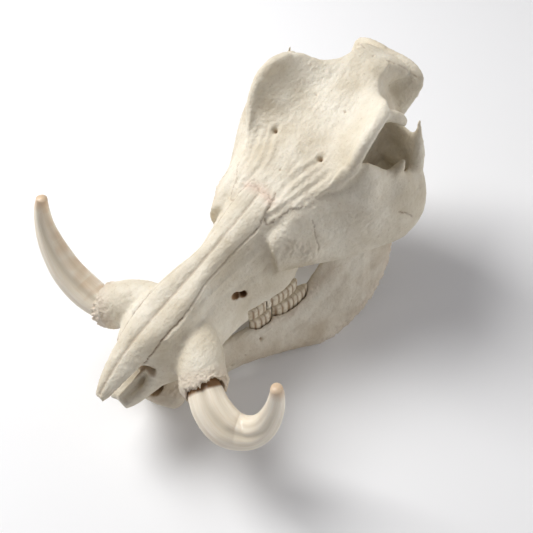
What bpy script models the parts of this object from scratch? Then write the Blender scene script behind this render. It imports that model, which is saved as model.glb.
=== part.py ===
"""A warthog skull: cranium, lower jaw, two upper tusks and the cheek teeth, resting on its jaw.

Units in the tables are millimetres, read along the skull: x is the distance to the animal's left of the
midline, y runs back from the tip of the nasal bones, z is the height above the surface the jaw rests on.
`place` turns them into metres and puts the origin under the middle of the skull.
"""

import math

import bmesh
import bpy
import numpy as np
from mathutils import Vector

MM = 0.001
LENGTH_CENTRE = 203.75     # y of the middle of the skull's length, which becomes the origin
BITE_GAP = 0.4             # half of the clear space between an upper and a lower tooth
SLOT_GAP = 0.9             # clear space between a tooth and its socket

CRANIUM_FACES = 4300
MANDIBLE_FACES = 1900
BONE_GRID = 2.6            # cell of the bone's surface grid
CAP_REACH = 0.8            # how far a tube's rounded end stands out, in radii
CAP_SHARES = (0.85, 0.45)  # the radii of the rings in a rounded end
RIM_GRID = 2.3             # cell after the hollows are cut, which rounds their rims

# Half sections of the face and snout, front to back: y, then (x, z) from the top of the midline, over the
# nasal bones, down the side of the upper jaw to its tooth edge, and in along the palate to the midline.
FACE = [
    (47, [(0, 122), (9, 123), (17, 115), (22, 105), (25, 94), (27, 82), (24, 71), (14, 70), (0, 74)]),
    (56, [(0, 127), (10, 128), (18, 120), (25, 109), (31, 98), (33, 85), (29, 73), (18, 71), (0, 75)]),
    (74, [(0, 133), (11, 134), (20, 129), (30, 116), (39, 104), (42, 90), (38, 76), (24, 72), (0, 76)]),
    (96, [(0, 139), (12, 141), (20, 136), (29, 121), (37, 107), (43, 92), (42, 77), (28, 72), (0, 77)]),
    (120, [(0, 146), (10, 148), (17, 143), (24, 128), (31, 113), (38, 94), (40, 77), (29, 71), (0, 78)]),
    (150, [(0, 156), (8, 156), (14, 149), (22, 131), (29, 115), (34, 96), (37, 77), (28, 70), (0, 79)]),
    (175, [(0, 166), (9, 165), (16, 159), (25, 141), (32, 121), (38, 99), (42, 77), (30, 67.5), (0, 80)]),
    (200, [(0, 175), (11, 175), (20, 169), (30, 155), (38, 132), (43, 102), (46, 76), (33, 67), (0, 82)]),
    (224, [(0, 184), (18, 185), (34, 181), (42, 165), (46, 137), (42, 107), (40, 82), (30, 74), (0, 86)]),
    (245, [(0, 193), (22, 191), (42, 183), (49, 166), (48, 142), (39, 116), (33, 96), (26, 88), (0, 96)]),
    (266, [(0, 204), (26, 202), (46, 192), (49, 176), (46, 152), (38, 128), (32, 112), (22, 106), (0, 108)]),
]

# The braincase behind the face: y, half width, middle height and half height of each oval section.
BRAINCASE = [
    (250, 40, 150, 42), (275, 42, 160, 44), (300, 41, 166, 48), (325, 44, 171, 54), (350, 44, 170, 60),
    (372, 38, 164, 58), (387, 28, 152, 44), (396, 15, 142, 24),
]

# The roof of the skull between the eye rims, a plate dished along the middle: y, then the upper face from
# the midline out to the rim, and the lower face from the rim back to the midline.
ROOF = [
    (206, [(0, 178), (14, 178), (22, 174), (30, 167)], [(26, 156), (18, 154), (9, 154), (0, 154)]),
    (238, [(0, 190), (18, 190), (31, 187), (41, 181)], [(38, 168), (26, 168), (13, 170), (0, 170)]),
    (256, [(0, 200), (20, 199), (37, 196), (51, 196)], [(48, 182), (36, 180), (18, 182), (0, 182)]),
    (270, [(0, 207), (24, 205), (45, 209), (60, 218)], [(57, 204), (44, 193), (22, 190), (0, 190)]),
    (282, [(0, 212), (26, 211), (45, 221), (60, 236)], [(58, 222), (46, 205), (24, 196), (0, 196)]),
    (294, [(0, 217), (26, 217), (45, 228), (59, 244)], [(58, 231), (46, 213), (24, 202), (0, 200)]),
    (306, [(0, 221), (26, 221), (44, 232), (56, 247)], [(56, 235), (45, 217), (24, 206), (0, 204)]),
    (317, [(0, 225), (24, 225), (42, 235), (53, 246)], [(54, 236), (42, 221), (22, 210), (0, 208)]),
    (327, [(0, 229), (18, 229), (35, 236), (49, 245)], [(50, 234), (36, 220), (18, 212), (0, 210)]),
    (338, [(0, 235), (13, 235), (24, 237), (34, 238)], [(35, 226), (26, 216), (13, 212), (0, 210)]),
    (352, [(0, 240), (10, 241), (17, 240), (23, 236)], [(25, 222), (19, 214), (10, 212), (0, 210)]),
    (366, [(0, 241), (9, 242), (15, 241), (20, 237)], [(23, 222), (17, 214), (9, 210), (0, 210)]),
    (380, [(0, 238), (9, 239), (16, 238), (22, 234)], [(24, 222), (18, 212), (10, 208), (0, 208)]),
    (394, [(0, 232), (10, 233), (20, 232), (29, 229)], [(29, 220), (20, 212), (10, 208), (0, 206)]),
]

# Plates are lists of stations: upper edge, lower edge, thickness and outward bow.
CHEEK = [
    ((28, 194, 156), (34, 196, 108), 26, 1),
    ((33, 222, 176), (46, 211, 112), 20, 3),
    ((40, 239, 180), (62, 231, 113), 16, 2),
    ((47, 257, 187), (74, 251, 111), 14, 2),
    ((57, 270, 200), (82, 267, 109), 13, 3),
    ((65, 281, 215), (88, 281, 109), 13, 3),
    ((70, 293, 205), (95, 295, 110), 13, 3),
    ((75, 306, 193), (101, 307, 112), 13, 3),
    ((79, 317, 190), (103, 321, 115), 12, 4),
    ((80, 328, 177), (102, 334, 121), 13, 5),
    ((79, 338, 176), (97, 345, 131), 11, 4),
    ((75, 346, 180), (86, 353, 142), 10, 2),
    ((66, 356, 180), (71, 363, 148), 14, 1),
    ((50, 368, 178), (55, 372, 146), 20, 0),
]
CREST = [
    ((0, 403, 230), (0, 368, 190), 20, 0),
    ((14, 404, 231), (10, 368, 188), 14, 0),
    ((27, 404, 230), (18, 367, 184), 9, -2),
    ((38, 404, 225), (25, 367, 178), 7, -3),
    ((43, 404, 215), (30, 366, 171), 7, -4),
    ((42, 402, 204), (33, 366, 164), 8, -4),
    ((36, 397, 192), (35, 366, 156), 10, -3),
    ((34, 388, 178), (35, 366, 146), 12, 0),
    ((37, 378, 160), (36, 366, 130), 15, 0),
]
NASAL_TIP = [
    ((0, 2, 87), (4, 1, 81), 4, 0),
    ((0, 10, 96), (8, 9, 87), 6, 0),
    ((0, 22, 106), (12, 21, 96), 7, 0),
    ((0, 36, 116), (15, 35, 105), 8, 0),
    ((0, 54, 125), (17, 54, 112), 12, 0),
]
PREMAXILLA = [
    ((13, 15, 75), (16, 15, 66), 6, 0), ((15, 24, 76), (18, 24, 64), 8, 0),
    ((17, 34, 79), (20, 34, 64), 8, 0), ((19, 45, 88), (22, 46, 66), 9, 0),
    ((19, 54, 104), (24, 54, 68), 10, 0),
]
PREMAXILLA_RIDGE = [
    ((6, 17, 75), (7, 17, 67), 3, 0), ((8, 34, 81), (9, 34, 67), 3, 0),
    ((10, 54, 90), (11, 54, 68), 4, 0),
]
PALATE_SHELF = [
    ((0, 16, 69), (15, 16, 69), 5, 0), ((0, 34, 70), (19, 34, 70), 6, 0), ((0, 56, 74), (22, 56, 73), 7, 0),
]
TEMPLE_WALL = [
    ((36, 350, 208), (36, 346, 118), 8, 0), ((52, 352, 206), (54, 350, 132), 7, 0),
    ((62, 350, 204), (68, 348, 148), 7, 0), ((70, 347, 208), (78, 345, 158), 7, 0),
    ((76, 343, 218), (85, 342, 165), 7, 0),
]
PTERYGOID = [
    ((22, 236, 100), (24, 236, 80), 10, 0),
    ((23, 256, 116), (24, 254, 84), 6, 0),
    ((24, 274, 124), (25, 276, 90), 6, 0),
    ((25, 290, 130), (26, 288, 108), 9, 0),
]

# Tubes are lists of (x, y, z, radius).
PALATE_FRONT = [
    (0, 16, 70, 4), (0, 32, 71, 5.5), (0, 52, 75, 8),
]
TUSK_SOCKET = [
    (26, 100, 104, 18), (42, 89, 101, 21), (54, 78.5, 96, 22), (64, 71.5, 90.5, 21.5),
]
EYE_HOOK = [(54, 317, 237, 6.5), (60, 327, 236, 6), (65, 334, 230, 5), (67, 335, 223, 3)]
EYE_BROW = [(50, 260, 192, 6), (59, 270, 212, 6), (61, 282, 232, 6), (60, 298, 242, 6), (56, 315, 243, 6)]
CHEEK_HORN = [(79, 308, 184, 7), (81, 315, 191, 5.5), (82, 319, 199, 3)]
SQUAMOSAL_HORN = [(84, 343, 172, 7), (82, 344, 192, 6), (79, 343, 210, 4), (76, 344, 228, 2)]
JAW_HINGE_ROOF = [(52, 352, 166, 13), (66, 347, 166, 10), (77, 346, 164, 8)]
EAR_BULLA = [(28, 320, 122, 10), (30, 336, 112, 13), (30, 352, 118, 12)]
NECK_SPUR = [(36, 370, 138, 10), (38, 370, 116, 8), (38, 368, 94, 6), (37, 365, 80, 3)]
CONDYLE = [(10, 385, 122, 12), (19, 392, 128, 13), (25, 391, 138, 9)]

# Hollows: the nose, the throat, the neck, the eyes, and the holes where nerves leave the cheek and the brow.
NOSE_HOLLOW = [
    (0, 10, 81, 4), (0, 22, 87, 8), (0, 38, 94, 12), (0, 58, 100, 14), (0, 82, 105, 15), (0, 130, 110, 15),
]
NOSTRIL = [(11, 6, 83, 4), (14, 18, 91, 5.5), (17, 32, 96, 6.5), (18, 44, 99, 6), (14, 56, 101, 5)]
THROAT_HOLLOW = [(0, 236, 104, 8), (0, 256, 100, 16), (0, 276, 96, 20), (0, 296, 92, 24)]
NECK_HOLLOW = [(0, 370, 140, 9), (0, 388, 140, 12), (0, 410, 140, 14)]
EYE_HOLLOW = [(54, 312, 214, 12), (64, 312, 218, 16), (78, 312, 221, 20), (98, 313, 228, 26)]
FRONT_CHEEK_HOLE = [(24, 160, 110, 4.5), (33, 150, 116, 6), (41, 143, 121, 8)]
BROW_HOLE = [(26, 267, 196, 2.6), (27, 265, 204, 3), (28, 262, 212, 4)]

# Lower jaw, left half.
JAW_BODY = [
    ((10, 52, 55), (8, 68, 6), 18, 0), ((17, 66, 57), (14, 86, -2), 18, 2),
    ((24, 94, 59), (26, 108, 2), 17, 3), ((31, 124, 62), (36, 134, 11), 16, 3),
    ((38, 154, 60), (48, 160, 11), 19, 3), ((42, 185, 57), (64, 190, 6), 21, 3),
    ((48, 215, 57), (80, 222, -2), 20, 3), ((51, 236, 66), (87, 248, -2), 15, 2),
]
JAW_RAMUS = [
    ((48, 226, 60), (80, 226, 0), 17, 2),
    ((51, 241, 84), (87, 251, -2), 12, 2),
    ((55, 254, 110), (90, 277, 6), 10, 2),
    ((57, 270, 138), (89, 302, 18), 9, 2),
    ((60, 290, 152), (86, 320, 38), 9, 1),
    ((62, 310, 148), (79, 334, 66), 9, 0),
    ((64, 326, 146), (71, 343, 96), 11, 0),
]
CHIN = [(-28, 64, 38, 14), (-13, 58, 43, 16), (0, 56, 44, 16), (13, 58, 43, 16), (28, 64, 38, 14)]
CHIN_HEEL = [(-16, 78, 18, 17), (0, 76, 17, 19), (16, 78, 18, 17)]
JAW_CONDYLE = [(56, 336, 141, 8), (65, 334, 143, 9), (74, 335, 142, 8)]
CORONOID = [(56, 284, 140, 7), (58, 294, 158, 5.5), (59, 302, 168, 3)]
CHIN_SOCKET = [(12, 68, 44, 5), (15, 53, 54, 7), (18, 40, 62, 8.5)]

# The tusks differ a little, so each has its own curve.
TUSK_LEFT = [
    (50, 80, 100, 12.5), (60, 73, 96, 14), (70, 67, 92, 16), (84, 61, 87.5, 17.4), (100, 59.5, 82.5, 17.6),
    (113, 64, 81, 16), (124, 71, 87, 14.2), (132, 77, 104, 11.6), (138, 80, 134, 8.8),
    (141, 80, 163, 6.4), (140.5, 80, 175, 5),
]
TUSK_RIGHT = [
    (50, 80, 99, 12.5), (60, 74, 95, 14), (71, 69, 93, 15), (83, 67, 95, 16), (96, 65.5, 101, 16),
    (109, 64.5, 111, 15), (120, 65.5, 123, 13.6), (130, 67.5, 138, 11.4), (137.5, 71, 154, 8.8),
    (140.8, 75, 169, 7), (140, 78, 182, 5),
]
# The cheek teeth, by the (x, y) of each one's front and back ends.
CHEW_LEVEL = 69.0          # height at which the upper and lower teeth meet
TOOTH_ROW = {
    "upper_front": ((36, 158), (39, 179.5)),
    "upper_molar": ((40, 181.6), (45, 218)),
    "lower_front": ((38.5, 158), (42, 183)),
    "lower_molar": ((43, 185.1), (49.5, 229)),
}
TOOTH_WIDTH = {"upper_front": 9.0, "upper_molar": 10.5, "lower_front": 10.5, "lower_molar": 12.5}
TOOTH_ROOT = {"upper": 85.0, "lower": 46.0}
TUSK_CLEARANCE = 1.2       # room round a tusk in its socket
OVERSHOOT = 6.0            # how far a tooth slot runs out of the bone
SLAB_SIZE = (0.4, 0.6, 0.04)    # metres; the block that trims the jaw's underside

BONE_COLOUR = (0.80, 0.76, 0.68, 1.0)
JAW_COLOUR = (0.72, 0.67, 0.57, 1.0)
TUSK_COLOUR = (0.83, 0.76, 0.62, 1.0)
TOOTH_COLOUR = (0.66, 0.58, 0.44, 1.0)


def clear_scene():
    """Removes whatever objects the scene already holds."""
    for thing in list(bpy.data.objects):
        bpy.data.objects.remove(thing, do_unlink=True)


def place(points):
    """Turns skull millimetres into metres about the part's origin."""
    spots = np.array(points, dtype=float)
    spots[..., 1] -= LENGTH_CENTRE
    return spots * MM


def through(rows, count):
    """A smooth curve through the rows of an array, sampled at count places."""
    knots = np.array(rows, dtype=float)
    padded = np.concatenate([[2 * knots[0] - knots[1]], knots, [2 * knots[-1] - knots[-2]]])
    sampled = []
    for step in np.linspace(0, len(knots) - 1, count):
        start = min(int(step), len(knots) - 2)
        t = step - start
        before, here, after, beyond = padded[start:start + 4]
        sampled.append(0.5 * (2 * here + (after - before) * t
                              + (2 * before - 5 * here + 4 * after - beyond) * t ** 2
                              + (3 * here - before - 3 * after + beyond) * t ** 3))
    return np.array(sampled)


def flip(points):
    """The same points on the other side of the midline."""
    return np.array(points, dtype=float) * np.array([-1.0, 1.0, 1.0])


def skin(rings):
    """A closed bmesh over a list of rings that all have the same number of points."""
    around = len(rings[0])
    along = len(rings)
    shell = bmesh.new()
    bmesh.ops.create_grid(shell, x_segments=around, y_segments=along - 1, size=1.0)
    for corner in shell.verts:
        column = round((corner.co.x + 1) / 2 * around) % around
        row = round((corner.co.y + 1) / 2 * (along - 1))
        corner.co = Vector(rings[row][column])
    bmesh.ops.remove_doubles(shell, verts=shell.verts, dist=1e-7)
    open_edges = [edge for edge in shell.edges if edge.is_boundary]
    bmesh.ops.holes_fill(shell, edges=open_edges, sides=0)
    bmesh.ops.triangulate(shell, faces=shell.faces)
    bmesh.ops.recalc_face_normals(shell, faces=shell.faces)
    return shell


def section_shell(stations, along=46, around=15):
    """A symmetrical shell over half sections, each a (y, [(x, z), ...]) from the top midline to the lower."""
    halves = [[(x, y, z) for x, z in outline] for y, outline in stations]
    rails = through([np.concatenate(half) for half in halves], along)
    rings = []
    for row in rails:
        half = through(row.reshape(-1, 3), around)
        rings.append(place(np.concatenate([half, flip(half[-2:0:-1])])))
    return skin(rings)


def oval_shell(stations, along=24, around=28):
    """A shell over upright ovals, each a (y, half width, middle height, half height)."""
    rings = []
    for y, wide, middle, tall in through(stations, along):
        turn = np.linspace(0, 2 * math.pi, around, endpoint=False)
        rings.append(place(np.stack([wide * np.sin(turn), np.full(around, y), middle + tall * np.cos(turn)], 1)))
    return skin(rings)


def plate_shell(stations, side=1, along=40, around=20):
    """A curved plate between an upper and a lower edge, on the left (side 1) or the right (side -1)."""
    rows = through([(*upper, *lower, thick, bow) for upper, lower, thick, bow in stations], along)
    middles = (rows[:, 0:3] + rows[:, 3:6]) / 2
    headings = np.gradient(middles, axis=0)
    turn = np.linspace(0, 2 * math.pi, around, endpoint=False)
    lengthways = np.cos(turn)
    crossways = np.sign(np.sin(turn)) * np.abs(np.sin(turn)) ** 0.7
    rings = []
    for row, middle, heading in zip(rows, middles, headings):
        reach = (row[0:3] - row[3:6]) / 2
        outward = np.cross(heading, reach)
        outward /= np.linalg.norm(outward)
        lift = crossways * row[6] / 2 + row[7] * (1 - lengthways ** 2)
        ring = middle + lengthways[:, None] * reach + lift[:, None] * outward
        rings.append(place(ring if side > 0 else flip(ring)))
    return skin(rings)


def tube_shell(stations, side=1, along=18, around=16):
    """A tapering round tube through (x, y, z, radius) stations, closed with rounded ends."""
    rows = through(stations, along)
    headings = np.gradient(rows[:, :3], axis=0)
    turn = np.linspace(0, 2 * math.pi, around, endpoint=False)
    last_side = np.cross(headings[0], (0.31, 0.27, 0.91))
    rings = []
    for row, heading in zip(rows, headings):
        heading = heading / np.linalg.norm(heading)
        across = last_side - heading * np.dot(last_side, heading)
        across /= np.linalg.norm(across)
        last_side = across
        over = np.cross(heading, across)
        ring = row[:3] + row[3] * (np.cos(turn)[:, None] * across + np.sin(turn)[:, None] * over)
        rings.append(ring)
    for end, inward in ((0, 1), (-1, -2)):
        away = rings[end].mean(axis=0) - rings[inward].mean(axis=0)
        away /= np.linalg.norm(away)
        radius = rows[end, 3]
        cap = [rings[end].mean(axis=0) + (rings[end] - rings[end].mean(axis=0)) * share
               + away * radius * math.sqrt(1 - share ** 2) * CAP_REACH for share in CAP_SHARES]
        rings = cap[::-1] + rings if end == 0 else rings + cap
    return skin([place(ring if side > 0 else flip(ring)) for ring in rings])


def tooth_shell(kind, side, root, crown, grow=0.0, along=7, around=8):
    """A cheek tooth: a block with rounded sides that follows the tooth row, from its root to its chewing face."""
    (front_x, front_y), (back_x, back_y) = TOOTH_ROW[kind]
    wide = TOOTH_WIDTH[kind] / 2 + grow
    low, high = min(root, crown) - grow, max(root, crown) + grow
    turn = np.linspace(0, 2 * math.pi, around, endpoint=False)
    rings = []
    for share in np.linspace(0, 1, along):
        swell = (1 - abs(2 * share - 1) ** 3.5) ** 0.5 if 0 < share < 1 else 0.3
        reach = (2 * share - 1) * (0.5 + grow / (back_y - front_y)) + 0.5
        x = front_x + (back_x - front_x) * reach
        y = front_y + (back_y - front_y) * reach
        across = np.sign(np.sin(turn)) * np.abs(np.sin(turn)) ** 0.5
        upward = np.sign(np.cos(turn)) * np.abs(np.cos(turn)) ** 0.5
        ring = np.stack([x + wide * swell * across, np.full(around, float(y)),
                         (low + high) / 2 + (high - low) / 2 * upward], 1)
        rings.append(place(ring if side > 0 else flip(ring)))
    return skin(rings)


def both(build, table, **choices):
    """The left and right copies of a shape."""
    return [build(table, side=1, **choices), build(table, side=-1, **choices)]


def gather(name, shells, look=None):
    """One object holding all the shells."""
    data = bpy.data.meshes.new(name)
    whole = bmesh.new()
    for shell in shells:
        part = bpy.data.meshes.new(name + "_shell")
        shell.to_mesh(part)
        shell.free()
        whole.from_mesh(part)
        bpy.data.meshes.remove(part)
    whole.to_mesh(data)
    whole.free()
    thing = bpy.data.objects.new(name, data)
    bpy.context.scene.collection.objects.link(thing)
    if look:
        data.materials.append(look)
    return thing


def cutter(name, shells):
    """A hidden object that hollows another out."""
    tool = gather(name, shells)
    tool.hide_render = True
    tool.display_type = "WIRE"
    return tool


def finish(name, colour, roughness):
    """A plain surface finish."""
    look = bpy.data.materials.new(name)
    look.use_nodes = True
    surface = look.node_tree.nodes["Principled BSDF"]
    surface.inputs["Base Color"].default_value = colour
    surface.inputs["Roughness"].default_value = roughness
    surface.inputs["Metallic"].default_value = 0.0
    return look


def even_out(thing, cell, rounds):
    """Fuses the overlapping shells of an object into one even skin and eases its joins."""
    grid = thing.modifiers.new("even skin", "REMESH")
    grid.mode = "VOXEL"
    grid.voxel_size = cell * MM
    ease = thing.modifiers.new("ease", "SMOOTH")
    ease.factor = 0.5
    ease.iterations = rounds


def hollow(thing, tool):
    """Cuts one object out of another."""
    cut = thing.modifiers.new("cut " + tool.name, "BOOLEAN")
    cut.operation = "DIFFERENCE"
    cut.solver = "EXACT"
    cut.object = tool
    return cut


def thin_out(thing, cells, faces):
    """Reduces an object from about `cells` triangles to about `faces`."""
    reduce = thing.modifiers.new("fewer faces", "DECIMATE")
    reduce.ratio = faces / cells
    reduce.use_symmetry = False


def count_triangles(thing):
    """The number of triangles an object has with its modifiers."""
    graph = bpy.context.evaluated_depsgraph_get()
    shown = thing.evaluated_get(graph)
    data = shown.to_mesh()
    total = sum(len(face.vertices) - 2 for face in data.polygons)
    shown.to_mesh_clear()
    return total


def tooth_slots(jaw, crown):
    """The slots that hold one jaw's cheek teeth, a little wider than the teeth."""
    return [tooth_shell(kind, side, TOOTH_ROOT[jaw], crown, grow=SLOT_GAP)
            for kind in TOOTH_ROW if kind.startswith(jaw) for side in (1, -1)]


def tusk_bore(tusk, side):
    """The socket round the first part of a tusk."""
    stations = [(x, y, z, radius + TUSK_CLEARANCE) for x, y, z, radius in tusk[:5]]
    return tube_shell(stations, side=side, along=9, around=12)


def build_cranium(look):
    """The cranium: face, roof, braincase, cheek arches, crest and tusk sockets, with its hollows."""
    shells = [section_shell(FACE), oval_shell(BRAINCASE), tube_shell(PALATE_FRONT)]
    shells.append(section_shell([(y, upper + lower) for y, upper, lower in ROOF]))
    for table in (CHEEK, CREST, NASAL_TIP, PREMAXILLA, PREMAXILLA_RIDGE, PALATE_SHELF, PTERYGOID,
                  TEMPLE_WALL):
        shells += both(plate_shell, table)
    for table in (TUSK_SOCKET, EYE_HOOK, EYE_BROW, CHEEK_HORN, SQUAMOSAL_HORN, JAW_HINGE_ROOF, EAR_BULLA,
                  NECK_SPUR, CONDYLE):
        shells += both(tube_shell, table)
    cranium = gather("cranium", shells, look)
    even_out(cranium, BONE_GRID, 4)
    middle = [tube_shell(NOSE_HOLLOW), tube_shell(THROAT_HOLLOW), tube_shell(NECK_HOLLOW)]
    hollow(cranium, cutter("midline_hollows", middle))
    paired = []
    for table in (NOSTRIL, EYE_HOLLOW, FRONT_CHEEK_HOLE, BROW_HOLE):
        paired += both(tube_shell, table)
    hollow(cranium, cutter("paired_hollows", paired))
    even_out(cranium, RIM_GRID, 2)
    thin_out(cranium, count_triangles(cranium), CRANIUM_FACES)
    sockets = [tusk_bore(TUSK_LEFT, 1), tusk_bore(TUSK_RIGHT, -1)]
    sockets += tooth_slots("upper", CHEW_LEVEL - OVERSHOOT)
    hollow(cranium, cutter("cranium_sockets", sockets))
    return cranium


def slab_under():
    """A block below the resting surface, which trims the jaw's underside flat where it rests."""
    slab = bmesh.new()
    bmesh.ops.create_cube(slab, size=1.0)
    bmesh.ops.scale(slab, vec=SLAB_SIZE, verts=slab.verts)
    bmesh.ops.translate(slab, vec=(0.0, 0.0, -SLAB_SIZE[2] / 2), verts=slab.verts)
    return slab


def build_mandible(look):
    """The lower jaw: two bodies joined at the chin, with broad angles, hinge knobs and muscle spurs."""
    shells = both(plate_shell, JAW_BODY) + both(plate_shell, JAW_RAMUS)
    shells += [tube_shell(CHIN), tube_shell(CHIN_HEEL)]
    shells += both(tube_shell, JAW_CONDYLE) + both(tube_shell, CORONOID)
    mandible = gather("mandible", shells, look)
    even_out(mandible, BONE_GRID, 4)
    hollow(mandible, cutter("chin_sockets", both(tube_shell, CHIN_SOCKET)))
    even_out(mandible, RIM_GRID, 2)
    thin_out(mandible, count_triangles(mandible), MANDIBLE_FACES)
    hollow(mandible, cutter("mandible_sockets", tooth_slots("lower", CHEW_LEVEL + OVERSHOOT)))
    hollow(mandible, cutter("worn_flat_underneath", [slab_under()]))
    return mandible


def build_tusk(name, tusk, side, look):
    """One upper tusk, curving out of its socket and up."""
    return gather(name, [tube_shell(tusk, side=side, along=20, around=12)], look)


def build_tooth(name, kind, side, look):
    """One cheek tooth in its own slot, which stops just short of the tooth it bites on."""
    jaw = kind.split("_")[0]
    crown = CHEW_LEVEL + BITE_GAP if jaw == "upper" else CHEW_LEVEL - BITE_GAP
    return gather(name, [tooth_shell(kind, side, TOOTH_ROOT[jaw], crown)], look)


def main():
    """Builds every piece of the skull."""
    clear_scene()
    bone = finish("bone", BONE_COLOUR, 0.62)
    jaw_bone = finish("jaw_bone", JAW_COLOUR, 0.65)
    ivory = finish("ivory", TUSK_COLOUR, 0.38)
    build_cranium(bone)
    build_mandible(jaw_bone)
    build_tusk("upper_tusk_left", TUSK_LEFT, 1, ivory)
    build_tusk("upper_tusk_right", TUSK_RIGHT, -1, ivory)
    enamel = finish("tooth_enamel", TOOTH_COLOUR, 0.45)
    for hand, side in (("left", 1), ("right", -1)):
        for kind in TOOTH_ROW:
            build_tooth(f"{kind}_tooth_{hand}", kind, side, enamel)


if __name__ == "__main__":
    main()
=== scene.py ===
"""Dresses a warthog skull: fine bone, ivory and worn teeth over the frame's solids, with a small studio.

Lengths in the tables are millimetres read along the skull: x is the distance to the animal's left of the
midline, y runs back from the tip of the nasal bones, z is the height above the surface the jaw rests on.
`place` turns them into metres in the frame.
"""

import logging
import math
from abc import ABC, abstractmethod
from dataclasses import dataclass
from enum import Enum
from typing import Any, Sequence

import bmesh
import bpy
import numpy as np
from bmesh.types import BMesh
from bpy.types import Material, Node, NodeSocket, Object
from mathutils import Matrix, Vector, noise
from mathutils.bvhtree import BVHTree
from mathutils.kdtree import KDTree


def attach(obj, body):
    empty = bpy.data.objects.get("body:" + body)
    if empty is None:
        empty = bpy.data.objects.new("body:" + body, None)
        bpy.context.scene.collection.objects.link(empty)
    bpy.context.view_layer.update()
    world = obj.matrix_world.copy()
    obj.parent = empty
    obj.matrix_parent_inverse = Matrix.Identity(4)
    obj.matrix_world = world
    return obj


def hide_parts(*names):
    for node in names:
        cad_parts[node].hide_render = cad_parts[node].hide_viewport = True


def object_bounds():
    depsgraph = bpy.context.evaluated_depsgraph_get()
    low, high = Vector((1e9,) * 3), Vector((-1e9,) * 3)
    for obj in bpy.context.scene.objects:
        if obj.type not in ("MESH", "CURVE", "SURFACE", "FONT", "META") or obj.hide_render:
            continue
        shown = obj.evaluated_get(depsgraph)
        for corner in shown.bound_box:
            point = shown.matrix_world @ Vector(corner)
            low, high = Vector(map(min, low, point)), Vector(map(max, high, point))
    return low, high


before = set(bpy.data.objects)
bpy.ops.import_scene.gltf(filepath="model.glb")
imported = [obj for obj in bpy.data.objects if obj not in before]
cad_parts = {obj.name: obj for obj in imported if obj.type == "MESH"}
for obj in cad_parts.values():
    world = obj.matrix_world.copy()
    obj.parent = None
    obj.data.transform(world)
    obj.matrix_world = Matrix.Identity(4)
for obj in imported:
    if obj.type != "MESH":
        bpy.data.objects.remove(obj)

CAD_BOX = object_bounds()
LOG = logging.getLogger("skull")

MM = 0.001
LENGTH_CENTRE = 203.75

Spot = tuple[float, float, float]
Colour = tuple[float, float, float, float]
Feed = NodeSocket | float | tuple[float, ...]


class Side(Enum):
    """The two sides of the animal."""

    LEFT = 1
    RIGHT = -1


class Mark(Enum):
    """The masks that a bone's surface carries for its finish."""

    SEAM = "seam"
    # Painted shade: the mask that darkens the bone inside hollows, pits and recesses, where shade falls.
    CAVITY = "cavity"
    BLUSH = "blush"
    POROUS = "porous"


def unit(way: Sequence) -> np.ndarray:
    """A way as a unit vector."""
    return np.array(way, dtype=float) / np.linalg.norm(way)


def square_to(way: Sequence, axis: np.ndarray) -> np.ndarray:
    """The part of a way that is square to a unit axis, as a unit vector."""
    return unit(way - axis * np.dot(way, axis))


def mirrored(points: Sequence, side: Side) -> np.ndarray:
    """Points or ways on the left side, taken to a side of the animal."""
    return np.array(points, dtype=float) * (side.value, 1.0, 1.0)


def place(points: Sequence, side: Side = Side.LEFT) -> np.ndarray:
    """Turns skull millimetres into metres in the frame.

    Args:
        points: Rows of x, y, z on the left side.
        side: The side they are wanted on.

    Returns:
        The rows in metres.
    """
    spots = mirrored(points, side)
    spots[..., 1] -= LENGTH_CENTRE
    return spots * MM


def keep_in(spots: Sequence) -> np.ndarray:
    """Brings spots that stand past the solids' box back to it."""
    low, high = (np.array(corner) for corner in CAD_BOX)
    return np.clip(spots, low, high)


def tree_of(spots: np.ndarray) -> KDTree:
    """Plants a tree that finds the nearest spots.

    Args:
        spots: The spots, in metres.

    Returns:
        The tree, which knows the spots by their row numbers.
    """
    tree = KDTree(len(spots))
    for number, spot in enumerate(spots):
        tree.insert(spot, number)
    tree.balance()
    return tree


def through(rows: Sequence, count: int) -> np.ndarray:
    """Draws a smooth curve through the rows of a table.

    Args:
        rows: The knots, one row each, with any number of columns.
        count: How many places to sample.

    Returns:
        The sampled rows.
    """
    knots = np.array(rows, dtype=float)
    padded = np.concatenate([[2 * knots[0] - knots[1]], knots, [2 * knots[-1] - knots[-2]]])
    sampled = []
    for step in np.linspace(0, len(knots) - 1, count):
        start = min(int(step), len(knots) - 2)
        t = step - start
        before, here, after, beyond = padded[start:start + 4]
        sampled.append(0.5 * (2 * here + (after - before) * t
                              + (2 * before - 5 * here + 4 * after - beyond) * t ** 2
                              + (3 * here - before - 3 * after + beyond) * t ** 3))
    return np.array(sampled)


def skin(rings: Sequence[np.ndarray], wrap_map: bool = False) -> BMesh:
    """Stretches a grid over rings of equal length and closes both ends.

    Args:
        rings: The rings, in metres, from one end to the other.
        wrap_map: Whether the skin keeps a UV map that runs round and along it.

    Returns:
        A closed bmesh whose faces point outwards.
    """
    around = len(rings[0])
    along = len(rings)
    shell = bmesh.new()
    if wrap_map:
        shell.loops.layers.uv.new("wrap")
    bmesh.ops.create_grid(shell, x_segments=around, y_segments=along - 1, size=1.0, calc_uvs=wrap_map)
    for corner in shell.verts:
        column = round((corner.co.x + 1) / 2 * around) % around
        row = round((corner.co.y + 1) / 2 * (along - 1))
        corner.co = Vector(rings[row][column])
    bmesh.ops.remove_doubles(shell, verts=shell.verts, dist=1e-7)
    bmesh.ops.holes_fill(shell, edges=[edge for edge in shell.edges if edge.is_boundary], sides=0)
    bmesh.ops.triangulate(shell, faces=[face for face in shell.faces if len(face.verts) > 4])
    bmesh.ops.recalc_face_normals(shell, faces=shell.faces)
    return shell


def full_turn(count: int) -> np.ndarray:
    """The angles of evenly spaced points round a ring."""
    return np.linspace(0, 2 * math.pi, count, endpoint=False)


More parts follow.
